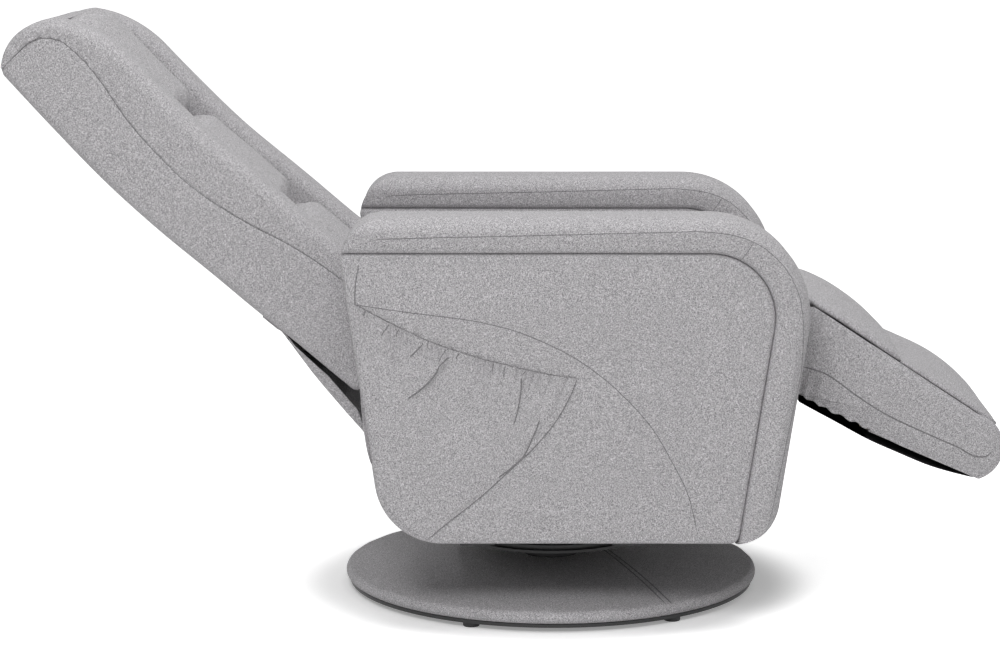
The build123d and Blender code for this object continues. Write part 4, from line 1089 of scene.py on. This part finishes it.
# ---------------------------------------------------------------- back pillows
# Three sewn pillows fill the back between the bolsters, with deep creases between them.
# Their slack cloth is blown up by the fibre in it, so it wrinkles beside its seams.

pillow_half = 0.1441
pillow_breaks = [back_bottom, 0.238, 0.450, 0.674]
pillow_names = ["lumbar_pillow", "middle_pillow", "head_pillow"]
pillow_pinned_height = 0.009
pillow_pinned_end = 0.0045
cloth_growth = 0.04
cloth_steps = 20


def cushion_points(place, up, half, low, high, radius, crown, count):
    """A cushion's rows: rounded sections stood on side-view places along their up vectors.

    low, high and half are given per row, and the top is crowned by a share of its height.
    """
    rows = []
    for i in range(len(place)):
        tall = high[i] - low[i]
        r = min(radius, tall * 0.49, half[i] * 0.9)
        x, rise = rounded_box(half[i], 0, tall, r, r, count)
        share = np.clip(rise / tall, 0, 1)
        lift = crown[i] * (1 - np.clip(np.abs(x) / half[i], 0, 1) ** 2.2) * share
        spot = place[i] + up[i] * (low[i] + rise + lift)[:, None]
        rows.append(np.column_stack([x, spot]))
    return np.array(rows)


def rows_along(length, count, margin):
    """Where the rows of a cushion lie along its length, closest together at both ends."""
    along = length * (0.5 - 0.5 * np.cos(np.linspace(0, pi, count)))
    along[0], along[-1] = margin, length - margin
    return along


def end_round(along, length, reach):
    """From near 0 at both ends to 1 in the middle, as a quarter circle over the reach."""
    return quarter_round(np.minimum(along, length - along) / reach)


def ruffled(points, base, up, edge, low, fade, tall, reach, waves, noise):
    """Cushion rows with puckers that stand beside the end seams and soft slack all over.

    The pucker is sin(a x + b sin(c x + d)), with a, b, c and d in waves, and dies away over
    reach from each row's distance to its end seam, edge. The slack's scale and seed are in
    noise. Both are tall high, and fade in over the first stretch above low.
    """
    height = np.einsum("ijk,ik->ij", points[..., 1:] - base[:, None], up)
    upper = np.clip((height - low) / fade, 0, 1)
    fine, wobble, coarse, start = waves
    x = points[..., 0]
    pucker = np.sin(x * fine + wobble * np.sin(x * coarse + start)) * np.exp(-edge[:, None] / reach)
    lift = tall * (pucker + soft_noise(points, *noise)) * upper
    points[..., 1:] += lift[..., None] * up[:, None]
    return points


def pillow_points(s0, s1, seed):
    """A pillow: crowned both ways, its ends rolled in, with puckers just beside each seam."""
    length = s1 - s0 - 0.0006
    along = rows_along(length, 90, 0.0004)
    s = s0 + 0.0003 + along
    base = back_place(s, 0.0)
    up = back_place(s, 1.0) - base
    rounding = end_round(along, length, 0.028)
    half = pillow_half - 0.004 * (1 - rounding)
    low = np.full(len(s), cover_depth + 0.001)
    high = low + 0.008 + 0.008 * rounding
    crown = 0.002 + 0.033 * rounding
    points = cushion_points(base, up, half, low, high, 0.024, crown, 130)
    edge = np.minimum(along, length - along)
    waves = (260, 2.2, 61, seed)
    return ruffled(points, base, up, edge, cover_depth + 0.001, 0.04, 0.0016, 0.018, waves, (38, seed))


def evaluated_mesh(thing):
    """A new mesh from an object with its modifiers applied."""
    graph = bpy.context.evaluated_depsgraph_get()
    return bpy.data.meshes.new_from_object(thing.evaluated_get(graph))


def blown_cloth(mesh, is_pinned, hold_in, cap, cell=0.005):
    """The mesh as a cloth bag under pressure: it grows a little, swells and creases.

    Pinned vertices stay where they are, none moves farther than cap, and hold_in pushes
    the result back into the room the piece has. The bag is subdivided once at the end.
    """
    bag = bpy.data.objects.new("cloth_bag", mesh)
    bpy.context.collection.objects.link(bag)
    voxels = bag.modifiers.new("voxels", "REMESH")
    voxels.mode = "VOXEL"
    voxels.voxel_size = cell
    bag.data = evaluated_mesh(bag)
    bag.modifiers.clear()
    start = vertex_places(bag.data)
    pins = bag.vertex_groups.new(name="pins")
    pins.add(np.flatnonzero(is_pinned(start)).tolist(), 1.0, "REPLACE")
    cloth = bag.modifiers.new("cloth", "CLOTH")
    cloth.settings.vertex_group_mass = "pins"
    cloth.settings.use_pressure = True
    cloth.settings.uniform_pressure_force = 4.0
    cloth.settings.shrink_min = -cloth_growth
    cloth.settings.mass = 0.3
    cloth.settings.bending_stiffness = 0.8
    cloth.settings.effector_weights.gravity = 0.0
    cloth.collision_settings.use_collision = False
    cloth.point_cache.frame_end = cloth_steps
    scene = bpy.context.scene
    for step in range(cloth_steps):
        scene.frame_set(step + 1)
    moved = vertex_places(evaluated_mesh(bag)) - start
    far = np.linalg.norm(moved, axis=1, keepdims=True)
    bag.modifiers.clear()
    scene.frame_set(1)
    bag.data.vertices.foreach_set("co", (start + moved * np.minimum(1, cap / (far + 1e-9))).ravel())
    finer = bag.modifiers.new("finer", "SUBSURF")
    finer.levels = finer.render_levels = 1
    made = evaluated_mesh(bag)
    made.vertices.foreach_set("co", hold_in(vertex_places(made)).ravel())
    made.update()
    bpy.data.objects.remove(bag)
    return made


def pillow_room(s0, s1):
    """Two functions for one pillow: which vertices are pinned, and how to hold it in its room."""
    low, high = back_place(s0 + 0.0003, cover_depth), back_place(s1 - 0.0003, cover_depth)
    low_run = back_place(s0 + 0.001, cover_depth) - back_place(s0, cover_depth)
    high_run = back_place(s1, cover_depth) - back_place(s1 - 0.001, cover_depth)
    low_run, high_run = (run / np.linalg.norm(run) for run in (low_run, high_run))
    rear = back_place(np.linspace(s0, s1, 60), cover_depth)

    def heights(points):
        """How far each point is above the pillow's rear face."""
        slope = np.array([-low_run[1], low_run[0]])
        nearest = np.abs((points[:, None, 1:] - rear[None]) @ low_run).argmin(1)
        return (points[:, 1:] - rear[nearest]) @ slope

    def is_pinned(points):
        """Which points are held: the pillow's rear and its two end seams."""
        ends = np.minimum((points[:, 1:] - low) @ low_run, (high - points[:, 1:]) @ high_run)
        return (heights(points) < pillow_pinned_height) | (ends < pillow_pinned_end)

    def hold_in(points):
        """The points held between the bolsters and between the pillow's neighbours."""
        points = points.copy()
        points[:, 0] = np.clip(points[:, 0], -pillow_half, pillow_half)
        short = np.clip((low - points[:, 1:]) @ low_run, 0, None)
        points[:, 1:] += short[:, None] * low_run
        over = np.clip((points[:, 1:] - high) @ high_run, 0, None)
        points[:, 1:] -= over[:, None] * high_run
        return points

    return is_pinned, hold_in


for i, name in enumerate(pillow_names):
    s0, s1 = pillow_breaks[i], pillow_breaks[i + 1]
    mesh = closed_mesh(pillow_points(s0, s1, 5 + i))
    mesh = blown_cloth(mesh, *pillow_room(s0, s1), 0.008)
    add_pad(name, mesh, "backrest")

# ---------------------------------------------------------------- seat cushion
# One thick box cushion between the arms, crowned and drawn in at its ends, with its
# underside cut away at the front to clear the footrest's hinge.

seat_half = 0.216
seat_front = -0.288
seat_rear = 0.157
seat_low = 0.4003
seat_top_front = 0.482
seat_top_rear = 0.462
seat_ceiling = 0.488
seat_frame_front = -0.205
seat_lip = 0.024


def seat_points():
    """The cushion's rows from front to rear, rounded at both ends."""
    length = seat_rear - seat_front
    along = rows_along(length, 110, 0.0006)
    y = seat_front + along
    rounding = end_round(along, length, 0.050)
    place = np.column_stack([y, np.zeros(len(y))])
    up = np.tile([0.0, 1.0], (len(y), 1))
    share = along / length
    top = seat_top_front + share * (seat_top_rear - seat_top_front)
    lip = np.interp(y, [seat_front, seat_frame_front], [seat_lip + 0.001, 0.0])
    low = seat_low + 0.0004 + lip + 0.010 * (1 - rounding)
    high = top - 0.020 - 0.022 * (1 - rounding)
    half = seat_half - 0.0015 - 0.016 * (1 - rounding)
    crown = 0.011 * rounding + 0.003
    points = cushion_points(place, up, half, low, high, 0.022, crown, 150)
    upper = np.clip((points[..., 2] - low[:, None]) / 0.05, 0, 1)
    points[..., 2] += soft_noise(points, 30, 33) * 0.0016 * upper
    return points


def seat_pinned(points):
    """Which of the cushion's points are held: its underside and its two end seams."""
    ends = np.minimum(points[:, 1] - seat_front, seat_rear - points[:, 1])
    return (points[:, 2] < seat_low + seat_lip + 0.012) | (ends < 0.006)


def seat_room(points):
    """The points held inside the box that the cushion may fill."""
    low = (-seat_half, seat_front, seat_low + 0.0004)
    return np.clip(points, low, (seat_half, seat_rear, seat_ceiling))


seat_mesh = closed_mesh(seat_points())
seat_mesh = blown_cloth(seat_mesh, seat_pinned, seat_room, 0.007, cell=0.006)
add_pad("seat_cushion", seat_mesh, "chassis")

# ---------------------------------------------------------------- footrest
# A wedge of foam on a board, covered in cloth: two pads are sewn across its top, side
# panels hang over the hinge brackets, and their hem is gathered over a black underside.

foot_inner_y = -0.372
foot_outline = [(-0.372, 0.302), (-0.372, 0.449), (-0.612, 0.292), (-0.649, 0.238), (-0.614, 0.197)]
foot_core_half = 0.1745
foot_front_half = 0.1868
foot_side_inner = 0.1874
foot_side_outer = 0.1905
notch_y = -0.455
panel_rings = 46
foot_hem = [(-0.614, 0.197), (-0.351, 0.3111)]


def hem_height(y):
    """The height of the footrest's straight lower edge at each y."""
    return np.interp(y, *np.transpose(foot_hem))


def foot_loop(inner_y):
    """The footrest's side outline in front of inner_y, with an arc round its tip."""
    low_start, top_start, top_end, tip, low_end = (np.array(p) for p in foot_outline)
    share = (inner_y - low_start[0]) / (low_end[0] - low_start[0])
    low_start = low_start + (low_end - low_start) * share
    share = (inner_y - top_start[0]) / (top_end[0] - top_start[0])
    top_start = top_start + (top_end - top_start) * share
    line = np.vstack([
        low_start[None], top_start[None], arc_through(top_end, tip, low_end, 40), low_start[None],
    ])
    return evenly(line, 0.006)[:-1]


def slab_points(loop, centre, x0, x1, edges, bulge, rings=24):
    """A slab with round edges: rings grow from the centre of one face and shrink on the other.

    The face at x1 swells by bulge. The edges are the rounds of that face and of the other.
    """
    broad, tight = edges
    share = 1 - np.linspace(1, 0, rings) ** 1.6
    share[0] = 0.02
    high = face_rings(loop, centre, share, broad, bulge, 3)
    low = face_rings(loop, centre, share, tight, 0, 3)[::-1] * (-1, 1, 1)
    return np.concatenate([high + (x1, 0, 0), low + (x0, 0, 0)])


def join_meshes(meshes):
    """One mesh that holds several closed shells."""
    place, faces, start = [], [], 0
    for mesh in meshes:
        place += vertex_places(mesh).tolist()
        faces += [[i + start for i in p.vertices] for p in mesh.polygons]
        start = len(place)
    return new_mesh("joined", place, faces)


foot_centre = np.array([-0.50, 0.29])
front_centre = np.array([-0.545, 0.27])
core_parts = [
    closed_mesh(slab_points(loop, centre, -half, half, (edge, edge), 0))
    for loop, centre, half, edge in (
        (foot_loop(foot_inner_y), foot_centre, foot_core_half, 0.006),
        (foot_loop(notch_y), front_centre, foot_front_half, 0.004),
    )
]
foot_core = add_piece("footrest_cloth", join_meshes(core_parts), "footrest", ["footrest_foam"])

lower_seam = [(-0.355, 0.363), (-0.374, 0.358), (-0.396, 0.349), (-0.439, 0.318), (-0.475, 0.295),
              (-0.511, 0.277), (-0.560, 0.255), (-0.584, 0.244), (-0.604, 0.233), (-0.622, 0.231),
              (-0.634, 0.240)]


def side_panel_points(side):
    """The thin panel over one side: gathered near its hem, with a few long creases."""
    behind = [(-0.351, 0.3111), (-0.351, 0.428), (-0.3565, 0.4405), (-0.3605, 0.4505), (-0.376, 0.4465)]
    line = np.vstack([behind, arc_through(*foot_outline[2:], 40), behind[:1]])
    y, z = evenly(line, 0.003)[:-1].T
    near_hem = np.exp(-(((z - hem_height(y)) / 0.02) ** 2)) * np.clip((y + 0.60) / 0.04, 0, 1)
    wave = 0.0018 * np.sin(y * 330 + 1.3 * np.sin(y * 53)) * np.clip((y + 0.47) / 0.02, 0, 1)
    rise = np.interp(y, [-0.500, -0.477, -0.441, -0.400, -0.351], [0, 0.0012, 0.0048, 0.0065, 0.0115])
    loop = np.column_stack([y, z + (wave + rise) * near_hem])
    backed = np.clip((notch_y - 0.004 - loop[:, 0]) / 0.012, 0, 1)
    edge = 0.0016 + 0.0084 * backed
    inner, outer = foot_side_inner, foot_side_outer
    points = slab_points(loop, foot_centre, inner, outer, (edge, 0.0012), 0.0038, panel_rings)
    y, z = points[..., 1], points[..., 2]
    hem = hem_height(y)
    lower = np.clip(1 - (z - hem) / 0.075, 0, 1)
    gathers = np.sin((y + 0.30 * (z - hem)) * 330 + 1.3 * np.sin(y * 53)) * lower
    gathers = gathers * np.clip((y + 0.475) / 0.03, 0, 1)
    outer_half = np.arange(len(points))[:, None] < panel_rings
    seam_y, seam_z = np.array(lower_seam[:-1]).T
    seam = np.interp(-y, -seam_y, seam_z)
    under = np.clip((seam - z) / np.maximum(seam - hem, 0.01), 0, 1)
    ahead = (0.410 - z) / 0.9 + 0.3 * (y + 0.428)
    aside = (y + 0.428) * 0.9 + (z - 0.410) * 0.42
    fold = np.clip(ahead / 0.006, 0, 1) * np.clip((0.036 - ahead) / 0.02, 0, 1)
    pleat = np.exp(-((aside / 0.006) ** 2)) - np.exp(-(((aside - 0.009) / 0.005) ** 2))
    move = 0.0021 * gathers + 0.0006 * soft_noise(points, 45, 81) + 0.0034 * fold * pleat
    points[..., 0] += outer_half * (move - 0.0034 * under**2)
    floor_x = np.where(outer_half, foot_side_inner + 0.0006, 0)
    points[..., 0] = np.maximum(points[..., 0], floor_x)
    deep = np.clip((notch_y - 0.006 - y) / 0.012, 0, 1)
    points[..., 0] -= ~outer_half * 0.016 * deep
    points[..., 0] *= side
    return points


# The lower seam on each side panel is a dark strip: the real seam line, with painted shade of its
# hollow.
for side, tag in sides:
    mesh = closed_mesh(side_panel_points(side))
    panel = add_piece(f"footrest_side_{tag}_cloth", mesh, "footrest")
    face_seam(f"footrest_lower_seam_{tag}", lower_seam, panel, side, 0.0022, 0.0004, body="footrest")

underside_half = 0.1812
underside_rear = -0.354
underside_front = -0.609


def underside_points():
    """The black dust cloth under the footrest, which sags between its front and rear edges.

    Beside the hinge brackets its sides are turned up behind the side panels.
    """
    along = np.linspace(0, 1, 60)
    y = underside_rear + (underside_front - underside_rear) * along
    sag = 0.0008 + 0.0125 * np.sin(pi * along**1.25) ** 0.8
    flat = np.linspace(-underside_half, underside_half, 61)
    x = np.concatenate([np.full(4, flat[0]), flat, np.full(4, flat[-1])])
    turned_up = np.concatenate([[1, 0.75, 0.5, 0.25], np.zeros(61), [0.25, 0.5, 0.75, 1]]) * 0.016
    across = 0.85 + 0.15 * np.abs(x / underside_half) ** 2
    ripple = 0.0006 * np.sin(x[None] * 95 + 7 * y[:, None] * 9)
    z = hem_height(y)[:, None] - sag[:, None] * across[None] + ripple * np.sin(pi * along)[:, None]
    z = z + turned_up[None] * np.clip((y[:, None] + 0.452) / 0.012, 0.02, 1)
    return np.stack([np.repeat(x[None], 60, 0), np.repeat(y[:, None], len(x), 1), z], -1)


underside = add_piece(
    "footrest_underside_cloth", sheet_mesh(underside_points(), 0.0009, (0, -0.3, -0.95)), "footrest",
    ["footrest_under_cover"], slot_materials["black_nonwoven"],
)

# ---------------------------------------------------------------- footrest pads
# The lower pad ends in a rolled edge round the footrest's tip. The upper pad carries on
# behind the knees to the seat's front edge.

(foot_top_y, foot_top_z), (foot_nose_y, foot_nose_z) = foot_outline[1:3]
foot_top_slope = np.arctan2(foot_top_z - foot_nose_z, foot_top_y - foot_nose_y)
foot_top_length = hypot(foot_top_z - foot_nose_z, foot_top_y - foot_nose_y)
pad_break = 0.150
pad_crown = 0.026
pad_overhang = 0.032
knee_half = 0.186
knee_neck = 0.1725


def foot_top(along, height):
    """The (y, z) place along the footrest's sloping top and up from it."""
    c, s = cos(foot_top_slope), sin(foot_top_slope)
    return np.stack([foot_top_y - along * c - height * s, foot_top_z - along * s + height * c], -1)


def lower_pad_points():
    """The pad from the cross seam to the tip: it rolls over the tip in its last 30 mm."""
    length = foot_top_length + pad_overhang - pad_break - 0.0006
    along = rows_along(length, 70, 0.0004)
    spot = pad_break + 0.0006 + along
    base = foot_top(spot, 0.0)
    up = foot_top(spot, 1.0) - base
    rounding = end_round(along, length, 0.032)
    low = np.full(len(spot), 0.0006)
    high = 0.0022 + 0.0045 * rounding
    half = knee_half - 0.0006 - 0.008 * (1 - rounding)
    arch = np.clip(np.sin(pi * along / length), 0, 1)
    crown = 0.0030 + (pad_crown - 0.0090) * arch * (0.4 + 0.6 * rounding)
    points = cushion_points(base, up, half, low, high, 0.0026, crown, 150)
    edge = np.minimum(along, length - along)
    return ruffled(points, base, up, edge, 0, 0.015, 0.0008, 0.014, (240, 2.0, 57, 0), (42, 71))


add_pad("footrest_lower_pad", closed_mesh(lower_pad_points()), "footrest")


def line_up(line):
    """Unit vectors square to a side-view line that runs forwards, on its upper side."""
    run = np.gradient(line, axis=0)
    run /= np.linalg.norm(run, axis=1, keepdims=True)
    return np.column_stack([run[:, 1], -run[:, 0]])


def knee_pad_points():
    """The pad from the seat's front edge, over the hinge and down to the cross seam.

    It is narrow between the hinge brackets and wide on the footrest.
    """
    knots = [(-0.2915, 0.4555), (-0.330, 0.4545), (-0.362, 0.4515)]
    knots += [tuple(foot_top(a, 0.0008)) for a in (0.030, 0.070, 0.110, pad_break - 0.0006)]
    rows = 120
    base = curve_through(knots, rows)
    up = line_up(base)
    along = run_length(base)
    length = along[-1]
    rounding = end_round(along + 0.0006, length + 0.0012, 0.030)
    half = np.interp(-base[:, 0], [-foot_top_y, 0.008 - foot_top_y], [knee_neck, knee_half - 0.0006])
    half = half - 0.008 * (1 - rounding)
    high = 0.0026 + 0.0060 * rounding
    arch = np.sin(pi * np.clip((length - along) / 0.185, 0, 1)) ** 0.7
    arch = np.maximum(arch, 0.35 * rounding)
    crown = 0.0035 + (pad_crown - 0.0090) * arch
    points = cushion_points(base, up, half, np.full(rows, 0.0004), high, 0.004, crown, 150)
    edge = np.minimum(along, length - along)
    return ruffled(points, base, up, edge, 0, 0.015, 0.0008, 0.014, (250, 2.0, 49, 0), (40, 72))


knee_pad = add_pad("knee_pad", closed_mesh(knee_pad_points()), None)
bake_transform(knee_pad)

# ---------------------------------------------------------------- rear skirt
# A loose cloth flap closes the gap behind the seat. It hangs from the back's rear face
# down to a rail between the side plates, and its side hems are folded double.

skirt_half = 0.205
skirt_knots = [(0.2673, 0.243), (0.2674, 0.257), (0.2720, 0.268), (0.300, 0.300), (0.345, 0.354)]
skirt_lap = (0.146, 0.172)


def skirt_points():
    """The flap's outer face, sagging a little, with soft vertical folds and turned-in sides.

    Across the flap the cloth runs flat to each side, round a small bend and then inwards
    by up to 16 mm, less where the flap comes close to the back.
    """
    knots = skirt_knots + [tuple(back_place(s, -0.0026)) for s in (0.132, *skirt_lap)]
    rows = 90
    line = curve_through(knots, rows)
    out = line_up(line)
    from_start = line - back_start
    gap = from_start[:, 0] * sin(back_slope) - from_start[:, 1] * cos(back_slope)
    turn_in = np.clip((gap - 0.004) * 0.8, 0, 0.016) * np.clip((line[:, 1] - 0.262) / 0.03, 0.02, 1)
    flat = np.linspace(-1, 1, 101)
    hem = np.linspace(0, 1, 9)[1:]
    x = np.concatenate([np.full(8, -1.0), flat, np.full(8, 1.0)]) * skirt_half
    inward = np.concatenate([hem[::-1], np.zeros(101), hem])
    middle = np.sin(np.linspace(0, pi, rows))[:, None]
    folds = 0.0022 * np.sin(x * 31 + 1.2 * np.sin(x * 13))[None] * middle * (inward == 0)
    move = folds - turn_in[:, None] * inward[None]
    place = line[:, None] + out[:, None] * move[..., None]
    points = np.concatenate([np.repeat(x[None, :, None], rows, 0), place], -1)
    normal = np.concatenate([np.zeros((rows, len(x), 1)), np.repeat(out[:, None], len(x), 1)], -1)
    turned = inward[None, :, None] > 0
    side_out = np.stack([np.sign(x), 0 * x, 0 * x], -1)[None]
    return points, np.where(turned, side_out, normal)


skirt_face, skirt_out = skirt_points()
skirt_mesh = sheet_mesh(skirt_face, 0.0016, skirt_out)
skirt = add_piece("rear_skirt_cloth", skirt_mesh, None, ["rear_skirt"])
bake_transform(skirt)
